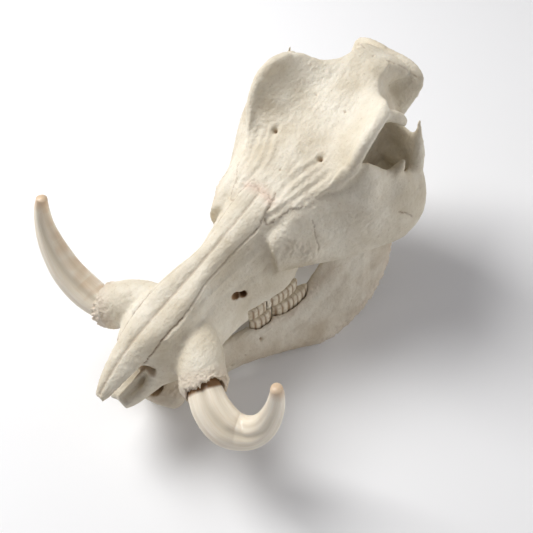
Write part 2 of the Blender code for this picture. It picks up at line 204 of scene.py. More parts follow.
def squared(wave: np.ndarray, power: float) -> np.ndarray:
    """A wave with its sign kept and its height raised to a power, which squares a round section."""
    return np.sign(wave) * np.abs(wave) ** power


@dataclass(frozen=True)
class Form(ABC):
    """A closed shape given by a few stations."""

    stations: tuple
    along: int = 40
    around: int = 24

    @abstractmethod
    def rings(self) -> list[np.ndarray]:
        """The form's rings on the left side, in skull millimetres."""

    def shell(self, side: Side = Side.LEFT) -> BMesh:
        """The form's closed skin on one side of the animal, in the frame."""
        return skin([place(ring, side) for ring in self.rings()])


@dataclass(frozen=True)
class Sections(Form):
    """A symmetrical form over half sections, each a (y, ((x, z), ...)) from the top midline to the lower."""

    along: int = 60
    around: int = 22

    def rings(self) -> list[np.ndarray]:
        """Joins each half section to its reflection.

        Returns:
            The rings, from front to back.
        """
        halves = [np.concatenate([(x, y, z) for x, z in outline]) for y, outline in self.stations]
        rings = []
        for row in through(halves, self.along):
            half = through(row.reshape(-1, 3), self.around)
            rings.append(np.concatenate([half, half[-2:0:-1] * (-1.0, 1.0, 1.0)]))
        return rings


@dataclass(frozen=True)
class Ovals(Form):
    """A form over upright ovals, each a (y, half width, middle height, half height)."""

    around: int = 40

    def rings(self) -> list[np.ndarray]:
        """Lays one upright oval at each sampled station.

        Returns:
            The rings, from front to back.
        """
        turn = full_turn(self.around)
        return [np.stack([wide * np.sin(turn), np.full(self.around, y), middle + tall * np.cos(turn)], 1)
                for y, wide, middle, tall in through(self.stations, self.along)]


@dataclass(frozen=True)
class Plate(Form):
    """A curved plate: each station is its upper edge, lower edge, thickness and outward bow."""

    along: int = 60
    around: int = 28
    fullness: float = 0.7

    def rings(self) -> list[np.ndarray]:
        """Lays flat ovals from the upper edge to the lower edge and back.

        Returns:
            The rings, from the first station to the last.
        """
        rows = through([(*upper, *lower, thick, bow) for upper, lower, thick, bow in self.stations], self.along)
        middles = (rows[:, 0:3] + rows[:, 3:6]) / 2
        headings = np.gradient(middles, axis=0)
        turn = full_turn(self.around)
        lengthways = np.cos(turn)
        crossways = squared(np.sin(turn), self.fullness)
        rings = []
        for row, middle, heading in zip(rows, middles, headings):
            reach = (row[0:3] - row[3:6]) / 2
            outward = unit(np.cross(heading, reach))
            lift = crossways * row[6] / 2 + row[7] * (1 - lengthways ** 2)
            rings.append(middle + lengthways[:, None] * reach + lift[:, None] * outward)
        return rings


@dataclass(frozen=True)
class Tube(Form):
    """A tapering round tube through (x, y, z, radius) stations, closed with rounded ends."""

    along: int = 34
    cap_reach: float = 0.8
    cap_shares: tuple[float, ...] = (0.85, 0.45)
    first_way: Spot = (0.31, 0.27, 0.91)

    def rings(self) -> list[np.ndarray]:
        """Lays round rings along the tube's curve, with smaller ones at each end.

        Returns:
            The rings, from the first station to the last.
        """
        rows = through(self.stations, self.along)
        headings = np.gradient(rows[:, :3], axis=0)
        turn = full_turn(self.around)
        side = np.cross(headings[0], self.first_way)
        rings = []
        for row, heading in zip(rows, headings):
            heading = unit(heading)
            side = square_to(side, heading)
            over = np.cross(heading, side)
            rings.append(row[:3] + row[3] * (np.cos(turn)[:, None] * side + np.sin(turn)[:, None] * over))
        for end, inward in ((0, 1), (-1, -2)):
            middle = rings[end].mean(axis=0)
            away = unit(middle - rings[inward].mean(axis=0))
            cap = [middle + (rings[end] - middle) * share
                   + away * rows[end, 3] * math.sqrt(1 - share ** 2) * self.cap_reach
                   for share in self.cap_shares]
            rings = cap[::-1] + rings if end == 0 else rings + cap
        return rings


def both(form: Form) -> list[BMesh]:
    """The left and the right shell of a form."""
    return [form.shell(Side.LEFT), form.shell(Side.RIGHT)]


def gather(name: str, shells: Sequence[BMesh]) -> Object:
    """Puts shells together in one new object.

    Args:
        name: The object's name.
        shells: The shells, which are freed.

    Returns:
        The object, linked to the scene.
    """
    data = bpy.data.meshes.new(name)
    whole = bmesh.new()
    for shell in shells:
        part = bpy.data.meshes.new(name + "_shell")
        shell.to_mesh(part)
        shell.free()
        whole.from_mesh(part)
        bpy.data.meshes.remove(part)
    whole.to_mesh(data)
    whole.free()
    thing = bpy.data.objects.new(name, data)
    bpy.context.scene.collection.objects.link(thing)
    return thing


def settle(thing: Object) -> None:
    """Applies an object's modifiers, so that its mesh holds the result.

    Args:
        thing: The object.
    """
    graph = bpy.context.evaluated_depsgraph_get()
    done = bpy.data.meshes.new_from_object(thing.evaluated_get(graph), preserve_all_data_layers=True,
                                           depsgraph=graph)
    old = thing.data
    thing.modifiers.clear()
    thing.data = done
    done.name = thing.name
    bpy.data.meshes.remove(old)


def even_out(thing: Object, cell: float, rounds: int) -> None:
    """Fuses an object's overlapping shells into one even skin and eases its joins.

    Args:
        thing: The object.
        cell: The grid's cell in millimetres.
        rounds: How many rounds of smoothing follow.
    """
    grid = thing.modifiers.new("even skin", "REMESH")
    grid.mode = "VOXEL"
    grid.voxel_size = cell * MM
    ease = thing.modifiers.new("ease", "SMOOTH")
    ease.factor = 0.5
    ease.iterations = rounds


def hollow_out(thing: Object, shells: Sequence[BMesh]) -> None:
    """Cuts shells out of an object and applies the cut.

    Args:
        thing: The object.
        shells: The shells, which are freed and don't overlap each other.
    """
    tool = gather(thing.name + "_hollows", shells)
    cut = thing.modifiers.new("hollows", "BOOLEAN")
    cut.operation = "DIFFERENCE"
    cut.solver = "EXACT"
    cut.object = tool
    settle(thing)
    bpy.data.objects.remove(tool, do_unlink=True)


def triangles_in(thing: Object) -> int:
    """How many triangles an object's faces come to."""
    return sum(len(face.vertices) - 2 for face in thing.data.polygons)


def thin_out(thing: Object, most: int) -> None:
    """Thins out an object that has too many triangles.

    Args:
        thing: The object.
        most: About how many triangles it keeps.
    """
    triangles = triangles_in(thing)
    if triangles > most:
        reduce = thing.modifiers.new("fewer faces", "DECIMATE")
        reduce.ratio = most / triangles
        settle(thing)


def paint(thing: Object, name: str, values: np.ndarray) -> None:
    """Keeps one value for each vertex of an object in a named attribute."""
    layer = thing.data.attributes.new(name, "FLOAT", "POINT")
    layer.data.foreach_set("value", np.asarray(values, dtype=np.float32))


def paint_rings(thing: Object, rings: Sequence[np.ndarray], masks: dict[str, Sequence]) -> None:
    """Paints an object whose skin was stretched over rings.

    Args:
        thing: The object.
        rings: The rings, in metres.
        masks: For each attribute's name, rows of values that match the rings.
    """
    tree = tree_of(np.array(rings).reshape(-1, 3))
    nearest = [tree.find(corner.co)[1] for corner in thing.data.vertices]
    for name, values in masks.items():
        paint(thing, name, np.array(values).ravel()[nearest])


def dress(thing: Object, material: Material, node: str) -> Object:
    """Shades a finished piece and has it stand for its solid.

    Args:
        thing: The piece.
        material: Its material.
        node: The solid that it replaces.

    Returns:
        The piece.
    """
    thing.data.shade_smooth()
    thing.data.materials.append(material)
    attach(thing, "root")
    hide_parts(node)
    return thing


@dataclass(frozen=True)
class Hollow:
    """A tube cut out of a bone, how much painted shade darkens the bone inside it, from 0 to 1, and how far the
    painted shade goes.

    `spread` is in radii from the tube's middle.
    """

    tube: Tube
    shade: float = 0.7
    spread: float = 1.12


@dataclass(frozen=True)
class Stroke:
    """A line drawn over the bone that sinks or lifts its surface and tints it.

    `sink` is how deep the line lies and `lip` how high its borders stand, both in millimetres. `wander` is
    how far the line strays to and fro, as a suture does.
    """

    points: tuple[Spot, ...]
    width: float
    sink: float = 0.0
    lip: float = 0.0
    wander: float = 0.0
    mark: Mark = Mark.SEAM
    tint: float = 0.0
    mirrored: bool = True


def pit(spot: Spot, width: float, sink: float, tint: float, mirrored_too: bool = True) -> Stroke:
    """A small hole with painted shade inside."""
    return Stroke((spot,), width, sink=sink, mark=Mark.CAVITY, tint=tint, mirrored=mirrored_too)


@dataclass(frozen=True)
class Swell:
    """A broad bulge, or a dent where `height` is negative, round a spot on the bone."""

    spot: Spot
    reach: float
    height: float
    mirrored: bool = True


@dataclass(frozen=True)
class Rough:
    """A patch of rugged, porous bone round a line."""

    points: tuple[Spot, ...]
    reach: float
    height: float
    grain: float
    tint: float = 0.6
    mirrored: bool = True


@dataclass(frozen=True)
class Rim:
    """The open end of a tusk's socket: a porous collar with a jagged, notched edge, all in millimetres."""

    middle: Spot = (66, 70.5, 89.0)
    heading: Spot = (0.75, -0.52, -0.41)
    radius: float = 21.0
    reach: float = 27.0
    depth: float = 16.0
    jag: float = 4.2
    grain: float = 3.0
    notch_way: Spot = (0.2, 0.45, 0.87)
    notch_width: float = 0.75
    notch_depth: float = 7.0

    def ways(self, side: Side) -> tuple[np.ndarray, np.ndarray]:
        """The way out of the socket and, square to it, the way to the notch."""
        axis = unit(mirrored(self.heading, side))
        return axis, square_to(mirrored(self.notch_way, side), axis)

    def ring(self, back: float) -> tuple[Spot, ...]:
        """Lays points round the socket.

        Args:
            back: How far behind the socket's middle they lie, in millimetres.

        Returns:
            The points on the left side, in skull millimetres.
        """
        axis, up = self.ways(Side.LEFT)
        over = np.cross(axis, up)
        middle = np.array(self.middle) - axis * back
        return tuple(tuple(middle + self.radius * (math.cos(turn) * up + math.sin(turn) * over))
                     for turn in np.linspace(0, 2 * math.pi, 13))


def sides(item: Stroke | Swell | Rough) -> tuple[Side, ...]:
    """The sides of the animal that a piece of relief is carved on."""
    return tuple(Side) if item.mirrored else (Side.LEFT,)


class Carver:
    """Carves fine relief into a dense skin and keeps the masks that its finish reads.

    A stroke's settings are in its widths: how far it reaches, how fast its core, border and tint fade, and
    where its border stands. The stray's waves are in waves per metre, with the share each adds, and grains
    are in millimetres. A noise is given by its roughness, its step and its rounds.
    """

    STROKE_REACH = 2.6
    CORE_FADE = 1.5
    BORDER_AT = 1.25
    BORDER_FADE = 2.2
    TINT_FADE = 1.9
    STRAY_WAVES = ((260, 1.0), (900, 0.4))
    SWIRL_GRAIN = 9.0
    SWIRL_NOISE = (0.8, 2.1, 3)
    FIBRE_GRAIN = (2.6, 17.0, 2.6)
    FIBRE_NOISE = (0.8, 2.0, 2)
    ROUGH_NOISE = (0.8, 2.2, 3)
    ROUGH_FADE = 1.2
    RIM_NOISE = (0.7, 2.3, 4)
    SHADE_EDGE = 0.15

    def __init__(self, thing: Object) -> None:
        """Reads the skin of an object.

        Args:
            thing: The object.
        """
        self.thing = thing
        data = thing.data
        count = len(data.vertices)
        self.spots = np.empty((count, 3))
        data.vertices.foreach_get("co", self.spots.ravel())
        self.normals = np.empty((count, 3))
        data.vertex_normals.foreach_get("vector", self.normals.ravel())
        self.masks = {mark: np.zeros(count) for mark in Mark}
        self.shift = np.zeros(count)
        self.slide = np.zeros((count, 3))
        self.tree = tree_of(self.spots)
        solid = bmesh.new()
        solid.from_mesh(data)
        self.surface = BVHTree.FromBMesh(solid)
        solid.free()

    def line(self, points: Sequence[Spot], side: Side, wander: float = 0.0) -> list[Vector]:
        """Lays a smooth line on the surface.

        Args:
            points: The line's points on the left side, in skull millimetres.
            side: The side of the animal.
            wander: How far it strays to and fro, in millimetres.

        Returns:
            Spots on the surface about a millimetre apart, in metres.
        """
        rough_line = place(points, side)
        if len(points) == 1:
            return [self.surface.find_nearest(Vector(rough_line[0]))[0]]
        length = np.linalg.norm(np.diff(rough_line, axis=0), axis=1).sum()
        laid = []
        for spot in through(rough_line, max(4, round(length / MM))):
            spot = Vector(spot)
            stray = Vector()
            if wander:
                for waves, share in self.STRAY_WAVES:
                    stray += noise.noise_vector(spot * waves) * wander * share * MM
            laid.append(self.surface.find_nearest(spot + stray)[0])
        return laid

    def distances(self, line: Sequence[Vector], reach: float) -> tuple[np.ndarray, np.ndarray]:
        """Finds the vertices near a line.

        Args:
            line: The line's spots in metres.
            reach: How far to look, in millimetres.

        Returns:
            The vertices' numbers and their distances in millimetres.
        """
        nearest: dict[int, float] = {}
        for spot in line:
            for _, number, distance in self.tree.find_range(spot, reach * MM):
                if distance < nearest.get(number, 1.0):
                    nearest[number] = distance
        return np.array(list(nearest), dtype=int), np.array(list(nearest.values())) / MM

    def shares(self, spot: Sequence, side: Side, reach: float) -> np.ndarray:
        """How far each vertex is from a spot, where 1 is as far as the reach in millimetres."""
        return np.linalg.norm(self.spots - place(spot, side), axis=1) / (reach * MM)

    def tint(self, mark: Mark, near: np.ndarray, amount: np.ndarray) -> None:
        """Raises a mask to an amount at some vertices."""
        mask = self.masks[mark]
        mask[near] = np.maximum(mask[near], amount)

    def stroke(self, item: Stroke) -> None:
        """Draws one stroke.

        Args:
            item: The stroke.
        """
        for side in sides(item):
            line = self.line(item.points, side, item.wander)
            near, away = self.distances(line, item.width * self.STROKE_REACH)
            if len(near) == 0:
                continue
            share = away / item.width
            core = np.exp(-(share * self.CORE_FADE) ** 2)
            border = np.exp(-((share - self.BORDER_AT) * self.BORDER_FADE) ** 2)
            self.shift[near] += (item.lip * border - item.sink * core) * MM
            self.tint(item.mark, near, item.tint * np.exp(-(share * self.TINT_FADE) ** 2))

    def swell(self, item: Swell) -> None:
        """Raises or dents one broad patch.

        Args:
            item: The patch.
        """
        for side in sides(item):
            share = self.shares(item.spot, side, item.reach)
            inside = share < 1
            self.shift[inside] += item.height * MM * (1 - share[inside] ** 2) ** 2

    def roughen(self, item: Rough) -> None:
        """Makes one patch rugged.

        Args:
            item: The patch.
        """
        for side in sides(item):
            near, away = self.distances(self.line(item.points, side), item.reach)
            if len(near) == 0:
                continue
            fade = (1 - (away / item.reach) ** 2) ** self.ROUGH_FADE
            relief = np.array([noise.fractal(Vector(self.spots[number]) / (item.grain * MM), *self.ROUGH_NOISE)
                               for number in near])
            self.shift[near] += item.height * MM * fade * relief
            self.tint(Mark.POROUS, near, item.tint * fade)

    def fray(self, rim: Rim, side: Side) -> None:
        """Makes a socket's rim jagged and notched by sliding its bone along the socket's axis.

        Args:
            rim: The rim.
            side: The side of the animal.
        """
        axis, notch_way = rim.ways(side)
        offset = self.spots - place(rim.middle, side)
        forward = offset @ axis / MM
        flat = offset - (offset @ axis)[:, None] * axis
        across = np.linalg.norm(flat, axis=1) / MM
        near = np.where((across < rim.reach) & (forward > -rim.depth) & (forward < rim.depth))[0]
        lift = np.clip((forward[near] + rim.depth) / rim.depth, 0, 1) ** 2
        waves = np.array([noise.fractal(Vector(flat[n]) / (rim.grain * MM), *self.RIM_NOISE) for n in near])
        turned = np.clip(flat[near] @ notch_way / (across[near] * MM), -1, 1)
        notch = rim.notch_depth * np.exp(-(np.arccos(turned) / rim.notch_width) ** 2)
        self.slide[near] += ((rim.jag * waves - notch) * lift * MM)[:, None] * axis
        self.tint(Mark.POROUS, near, lift)

    def shade_inside(self, item: Hollow, side: Side) -> None:
        """Paints shade on the bone inside a hollow.

        Args:
            item: The hollow.
            side: The side of the animal.
        """
        for row in through(item.tube.stations, 24):
            share = self.shares(row[:3], side, row[3])
            inside = share < item.spread
            depth = item.shade * np.clip((item.spread - share[inside]) / self.SHADE_EDGE, 0, 1)
            self.tint(Mark.CAVITY, inside, depth)

    def weather(self, swirl: float = 0.34, fibre: float = 0.34) -> None:
        """Gives the whole skin the low, uneven relief and the lengthways fibres of dry bone.

        Args:
            swirl: The height of the uneven relief, in millimetres.
            fibre: The height of the fibres, in millimetres.
        """
        for number, spot in enumerate(self.spots / MM):
            low = noise.fractal(Vector(spot) / self.SWIRL_GRAIN, *self.SWIRL_NOISE)
            fine = noise.fractal(Vector(spot / self.FIBRE_GRAIN), *self.FIBRE_NOISE)
            self.shift[number] += (swirl * low + fibre * fine) * MM

    def finish(self) -> None:
        """Writes the carved skin and its masks back to the object."""
        data = self.thing.data
        moved = keep_in(self.spots + self.normals * self.shift[:, None] + self.slide)
        data.vertices.foreach_set("co", moved.ravel())
        for mark, mask in self.masks.items():
            paint(self.thing, mark.value, np.clip(mask, 0, 1))
        data.update()


class Pad:
    """Lays out the nodes of one material."""

    def __init__(self, name: str) -> None:
        """Starts a material with its surface shader.

        Args:
            name: The material's name.
        """
        self.material = bpy.data.materials.new(name)
        self.material.use_nodes = True
        self.tree = self.material.node_tree
        self.surface = self.tree.nodes["Principled BSDF"]
        self.here = self.add("TexCoord").outputs["Object"]

    def add(self, kind: str, settings: dict[str, Any] | None = None, **inputs: Feed) -> Node:
        """Adds a node.

        Args:
            kind: The node's type without the words ShaderNode.
            settings: Properties of the node itself.
            inputs: Values or sockets for its inputs, with spaces in their names as underscores.

        Returns:
            The node.
        """
        node = self.tree.nodes.new("ShaderNode" + kind)
        for name, value in (settings or {}).items():
            setattr(node, name, value)
        self.feed_all(node, inputs)
        return node

    def feed_all(self, node: Node, inputs: dict[str, Feed]) -> None:
        """Feeds a node's inputs, with spaces in their names as underscores."""
        for name, value in inputs.items():
            self.feed(node.inputs[name.replace("_", " ")], value)

    def shade(self, **inputs: Feed) -> None:
        """Feeds the surface shader's inputs, named as in `add`."""
        self.feed_all(self.surface, inputs)

    def feed(self, socket: NodeSocket, value: Feed) -> None:
        """Links a socket to another, or sets its value.

        Args:
            socket: The socket.
            value: The other socket, or the value.
        """
        if isinstance(value, NodeSocket):
            self.tree.links.new(value, socket)
        else:
            socket.default_value = value

    def mask(self, name: str) -> NodeSocket:
        """The value of one of the piece's own attributes."""
        return self.add("Attribute", {"attribute_name": name}).outputs["Fac"]

    def noise(self, where: Feed, scale: float, detail: float = 3.0, rough: float = 0.5) -> NodeSocket:
        """A noise pattern's value."""
        return self.add("TexNoise", Vector=where, Scale=scale, Detail=detail, Roughness=rough).outputs["Fac"]

    def span(self, value: Feed, low: float, high: float, to_low: float = 0.0,
             to_high: float = 1.0) -> NodeSocket:
        """A value taken from one range to another, without going past it."""
        return self.add("MapRange", Value=value, From_Min=low, From_Max=high, To_Min=to_low,
                        To_Max=to_high).outputs["Result"]

    def times(self, first: Feed, second: Feed) -> NodeSocket:
        """Multiplies two values.

        Args:
            first: One of them.
            second: The other.

        Returns:
            Their product.
        """
        node = self.add("Math", {"operation": "MULTIPLY"})
        self.feed(node.inputs[0], first)
        self.feed(node.inputs[1], second)
        return node.outputs[0]

    def mix(self, amount: Feed, first: Feed, second: Feed) -> NodeSocket:
        """Mixes two colours.

        Args:
            amount: How much of the second colour there is, from 0 to 1.
            first: The first colour.
            second: The second colour.

        Returns:
            The mixed colour.
        """
        node = self.add("Mix", {"data_type": "RGBA"})
        self.feed(node.inputs["Factor"], amount)
        self.feed(node.inputs[6], first)
        self.feed(node.inputs[7], second)
        return node.outputs[2]

    def bump(self, height: Feed, strength: float, distance: float, under: Feed | None = None) -> NodeSocket:
        """Bumps the surface.

        Args:
            height: The relief.
            strength: How strongly it shows, from 0 to 1.
            distance: How high it is, in metres.
            under: The bumped normal that it lies over, if there is one.

        Returns:
            The bumped normal.
        """
        node = self.add("Bump", Height=height, Strength=strength, Distance=distance)
        if under is not None:
            self.feed(node.inputs["Normal"], under)
        return node.outputs["Normal"]


@dataclass(frozen=True)
class Finish(ABC):
    """A procedural material on the piece's own coordinates and masks."""

    name: str

    def material(self) -> Material:
        """Builds the material.

        Returns:
            The new material.
        """
        pad = Pad(self.name)
        self.lay_out(pad)
        return pad.material

    @abstractmethod
    def lay_out(self, pad: Pad) -> None:
        """Adds the material's nodes."""


@dataclass(frozen=True)
class BoneFinish(Finish):
    """Dry bleached bone: mottled cream, finely pitted, brown in its seams, with tan to brown painted shade in
    its hollows.
    """

    light: Colour = (0.83, 0.77, 0.64, 1.0)
    dark: Colour = (0.64, 0.56, 0.42, 1.0)
    seam: Colour = (0.22, 0.12, 0.055, 1.0)
    # The colour of the dark flecks and of the painted shade in hollows, pits and recesses.
    cavity: Colour = (0.33, 0.20, 0.10, 1.0)
    blush: Colour = (0.80, 0.58, 0.46, 1.0)
    porous: Colour = (0.74, 0.62, 0.49, 1.0)
    roughness: float = 0.58

    def lay_out(self, pad: Pad) -> None:
        """Mottled bone with its marks over it, under five layers of bump.

        Args:
            pad: Where the nodes are laid out.
        """
        here = pad.here
        grain_way = pad.add("Mapping", Vector=here, Scale=(1.0, 0.16, 1.0)).outputs["Vector"]
        cloud = pad.span(pad.noise(here, 22.0, 5.0, 0.62), 0.36, 0.68)
        colour = pad.mix(cloud, self.light, self.dark)
        speck = pad.span(pad.noise(here, 420.0, 2.0), 0.60, 0.74, 0.0, 0.22)
        colour = pad.mix(speck, colour, self.cavity)
        porous = pad.mask(Mark.POROUS.value)
        colour = pad.mix(pad.times(porous, 0.75), colour, self.porous)
        colour = pad.mix(pad.mask(Mark.BLUSH.value), colour, self.blush)
        # Painted shade: darkens the hollows, pits and recesses marked in the mask.
        colour = pad.mix(pad.mask(Mark.CAVITY.value), colour, self.cavity)
        colour = pad.mix(pad.mask(Mark.SEAM.value), colour, self.seam)
        pores = pad.add("TexVoronoi", Vector=here, Scale=760.0).outputs["Distance"]
        fine = pad.bump(pores, 0.16, 0.0004)
        fibre = pad.bump(pad.noise(grain_way, 420.0, 4.0, 0.65), 0.6, 0.0011, fine)
        grain = pad.bump(pad.noise(here, 260.0, 3.0, 0.6), 0.55, 0.0014, fibre)
        broad = pad.bump(pad.noise(here, 85.0, 5.0, 0.6), 0.35, 0.002, grain)
        pitted = pad.bump(pad.times(porous, pad.noise(here, 900.0, 3.0, 0.7)), 0.6, 0.0012, broad)
        pad.shade(Base_Color=colour, Normal=pitted, Subsurface_Weight=0.08,
                  Roughness=pad.span(cloud, 0.0, 1.0, self.roughness - 0.06, self.roughness + 0.1),
                  Subsurface_Radius=(0.004, 0.0028, 0.0018))


@dataclass(frozen=True)
class IvoryFinish(Finish):
    """Tusk ivory: satin cream streaked lengthways, with painted shade in the grooves and at the root, and
    stained orange.
    """

    light: Colour = (0.92, 0.84, 0.70, 1.0)
    streak: Colour = (0.72, 0.56, 0.36, 1.0)
    # The colour of the painted shade in the grooves.
    groove: Colour = (0.56, 0.48, 0.35, 1.0)
    stain: Colour = (0.56, 0.29, 0.09, 1.0)
    # The colour of the painted shade at the root, in the gap where the tusk leaves its socket.
    root: Colour = (0.26, 0.14, 0.06, 1.0)

    def lay_out(self, pad: Pad) -> None:
        """Streaks that follow the tusk, with its stain, the painted shade in its grooves and the painted shade
        at its root over them.

        Args:
            pad: Where the nodes are laid out.
        """
        wrap = pad.add("UVMap", {"uv_map": "wrap"}).outputs["UV"]
        lengthways = pad.add("Mapping", Vector=wrap, Scale=(26.0, 1.6, 1.0)).outputs["Vector"]
        streaks = pad.noise(lengthways, 2.6, 6.0, 0.65)
        colour = pad.mix(pad.span(streaks, 0.45, 0.78, 0.0, 0.6), self.light, self.streak)
        cloud = pad.span(pad.noise(pad.here, 40.0, 4.0), 0.35, 0.75)
        colour = pad.mix(pad.times(pad.mask("stain"), pad.span(cloud, 0.0, 1.0, 0.45, 1.0)), colour, self.stain)
        # Painted shade in the grooves.
        colour = pad.mix(pad.mask("groove"), colour, self.groove)
        # Painted shade at the root, where the tusk meets its socket.
        colour = pad.mix(pad.mask("root"), colour, self.root)
        fine = pad.bump(streaks, 0.25, 0.0006)
        pad.shade(Base_Color=colour, Normal=pad.bump(pad.noise(pad.here, 160.0, 4.0), 0.12, 0.0008, fine),
                  Roughness=pad.span(cloud, 0.0, 1.0, 0.30, 0.46), Subsurface_Weight=0.12,
                  Subsurface_Radius=(0.004, 0.003, 0.002))


@dataclass(frozen=True)
class EnamelFinish(Finish):
    """Worn cheek teeth: cream ridges with brown stain between them."""

    light: Colour = (0.76, 0.68, 0.53, 1.0)
    stain: Colour = (0.30, 0.19, 0.10, 1.0)

    def lay_out(self, pad: Pad) -> None:
        """Clouded enamel, stained in its flutes.

        Args:
            pad: Where the nodes are laid out.
        """
        cloud = pad.noise(pad.here, 240.0, 4.0, 0.6)
        colour = pad.mix(pad.span(cloud, 0.42, 0.72, 0.0, 0.55), self.light, self.stain)
        colour = pad.mix(pad.mask("valley"), colour, self.stain)
        pad.shade(Base_Color=colour, Normal=pad.bump(cloud, 0.3, 0.0008), Roughness=0.36)


@dataclass(frozen=True)
class FloorFinish(Finish):
    """The pale studio floor."""

    colour: Colour = (0.93, 0.93, 0.93, 1.0)

    def lay_out(self, pad: Pad) -> None:
        """A matt floor with a faint cloud in its colour."""
        darker = tuple(0.99 * part for part in self.colour)
        pad.shade(Base_Color=pad.mix(pad.noise(pad.here, 3.0), self.colour, darker), Roughness=0.8)


@dataclass
class Bone:
    """A bone made of overlapping forms, hollowed, evened out and carved."""

    name: str
    slot: str
    finish: BoneFinish
    middle: tuple[Form, ...]
    paired: tuple[Form, ...]
    hollows: tuple[Hollow, ...]
    paired_hollows: tuple[Hollow, ...]
    swells: tuple[Swell, ...]
    strokes: tuple[Stroke, ...]
    rough: tuple[Rough, ...]
    first_cell: float = 1.9
    last_cell: float = 1.25
    first_rounds: int = 8
    last_rounds: int = 7
    most: int = 190000

    def sockets(self) -> list[BMesh]:
        """Further hollows that hold other pieces."""
        return []

    def extra_carving(self, carver: Carver) -> None:
        """Carving that only this bone needs."""

    def build(self) -> Object:
        """Makes the bone and hides the solid it stands for.

        Returns:
            The finished object.
        """
        shells = [form.shell() for form in self.middle]
        for form in self.paired:
            shells += both(form)
        bone = gather(self.name + "_skin", shells)
        even_out(bone, self.first_cell, self.first_rounds)
        settle(bone)
        for shell in [item.tube.shell() for item in self.hollows] + self.sockets():
            hollow_out(bone, [shell])
        for item in self.paired_hollows:
            hollow_out(bone, both(item.tube))
        even_out(bone, self.last_cell, self.last_rounds)
        settle(bone)
        carver = Carver(bone)
        carver.weather()
        for item in self.swells:
            carver.swell(item)
        for item in self.strokes:
            carver.stroke(item)
        for item in self.rough:
            carver.roughen(item)
        for item in self.hollows:
            carver.shade_inside(item, Side.LEFT)
        for item in self.paired_hollows:
            carver.shade_inside(item, Side.LEFT)
            carver.shade_inside(item, Side.RIGHT)
        self.extra_carving(carver)
        carver.finish()
        thin_out(bone, self.most)
        return dress(bone, self.finish.material(), self.name)


TUSK_CURVE = {
    Side.LEFT: (
        (50, 80, 100, 12.5), (60, 73, 96, 14), (70, 67, 92, 16), (84, 61, 87.5, 17.4), (100, 59.5, 82.5, 17.6),
        (113, 64, 81, 16), (124, 71, 87, 14.2), (132, 77, 104, 11.6), (138, 80, 134, 8.8),
        (141, 80, 163, 6.4), (140.5, 80, 175, 5),
    ),
    Side.RIGHT: (
        (50, 80, 99, 12.5), (60, 74, 95, 14), (71, 69, 93, 15), (83, 67, 95, 16), (96, 65.5, 101, 16),
        (109, 64.5, 111, 15), (120, 65.5, 123, 13.6), (130, 67.5, 138, 11.4), (137.5, 71, 154, 8.8),
        (140.8, 75, 169, 7), (140, 78, 182, 5),
    ),
}


@dataclass(frozen=True)
class Groove:
    """A groove along a tusk: where it runs and how wide it is in radians, its depth in radii and its tint of
    painted shade.
    """

    turn: float
    width: float
    depth: float
    tint: float

    def across(self, turn: np.ndarray) -> np.ndarray:
        """How deep in the groove each point of a ring lies, from 0 to 1."""
        return np.exp(-(np.angle(np.exp(1j * (turn - self.turn))) / self.width) ** 2)


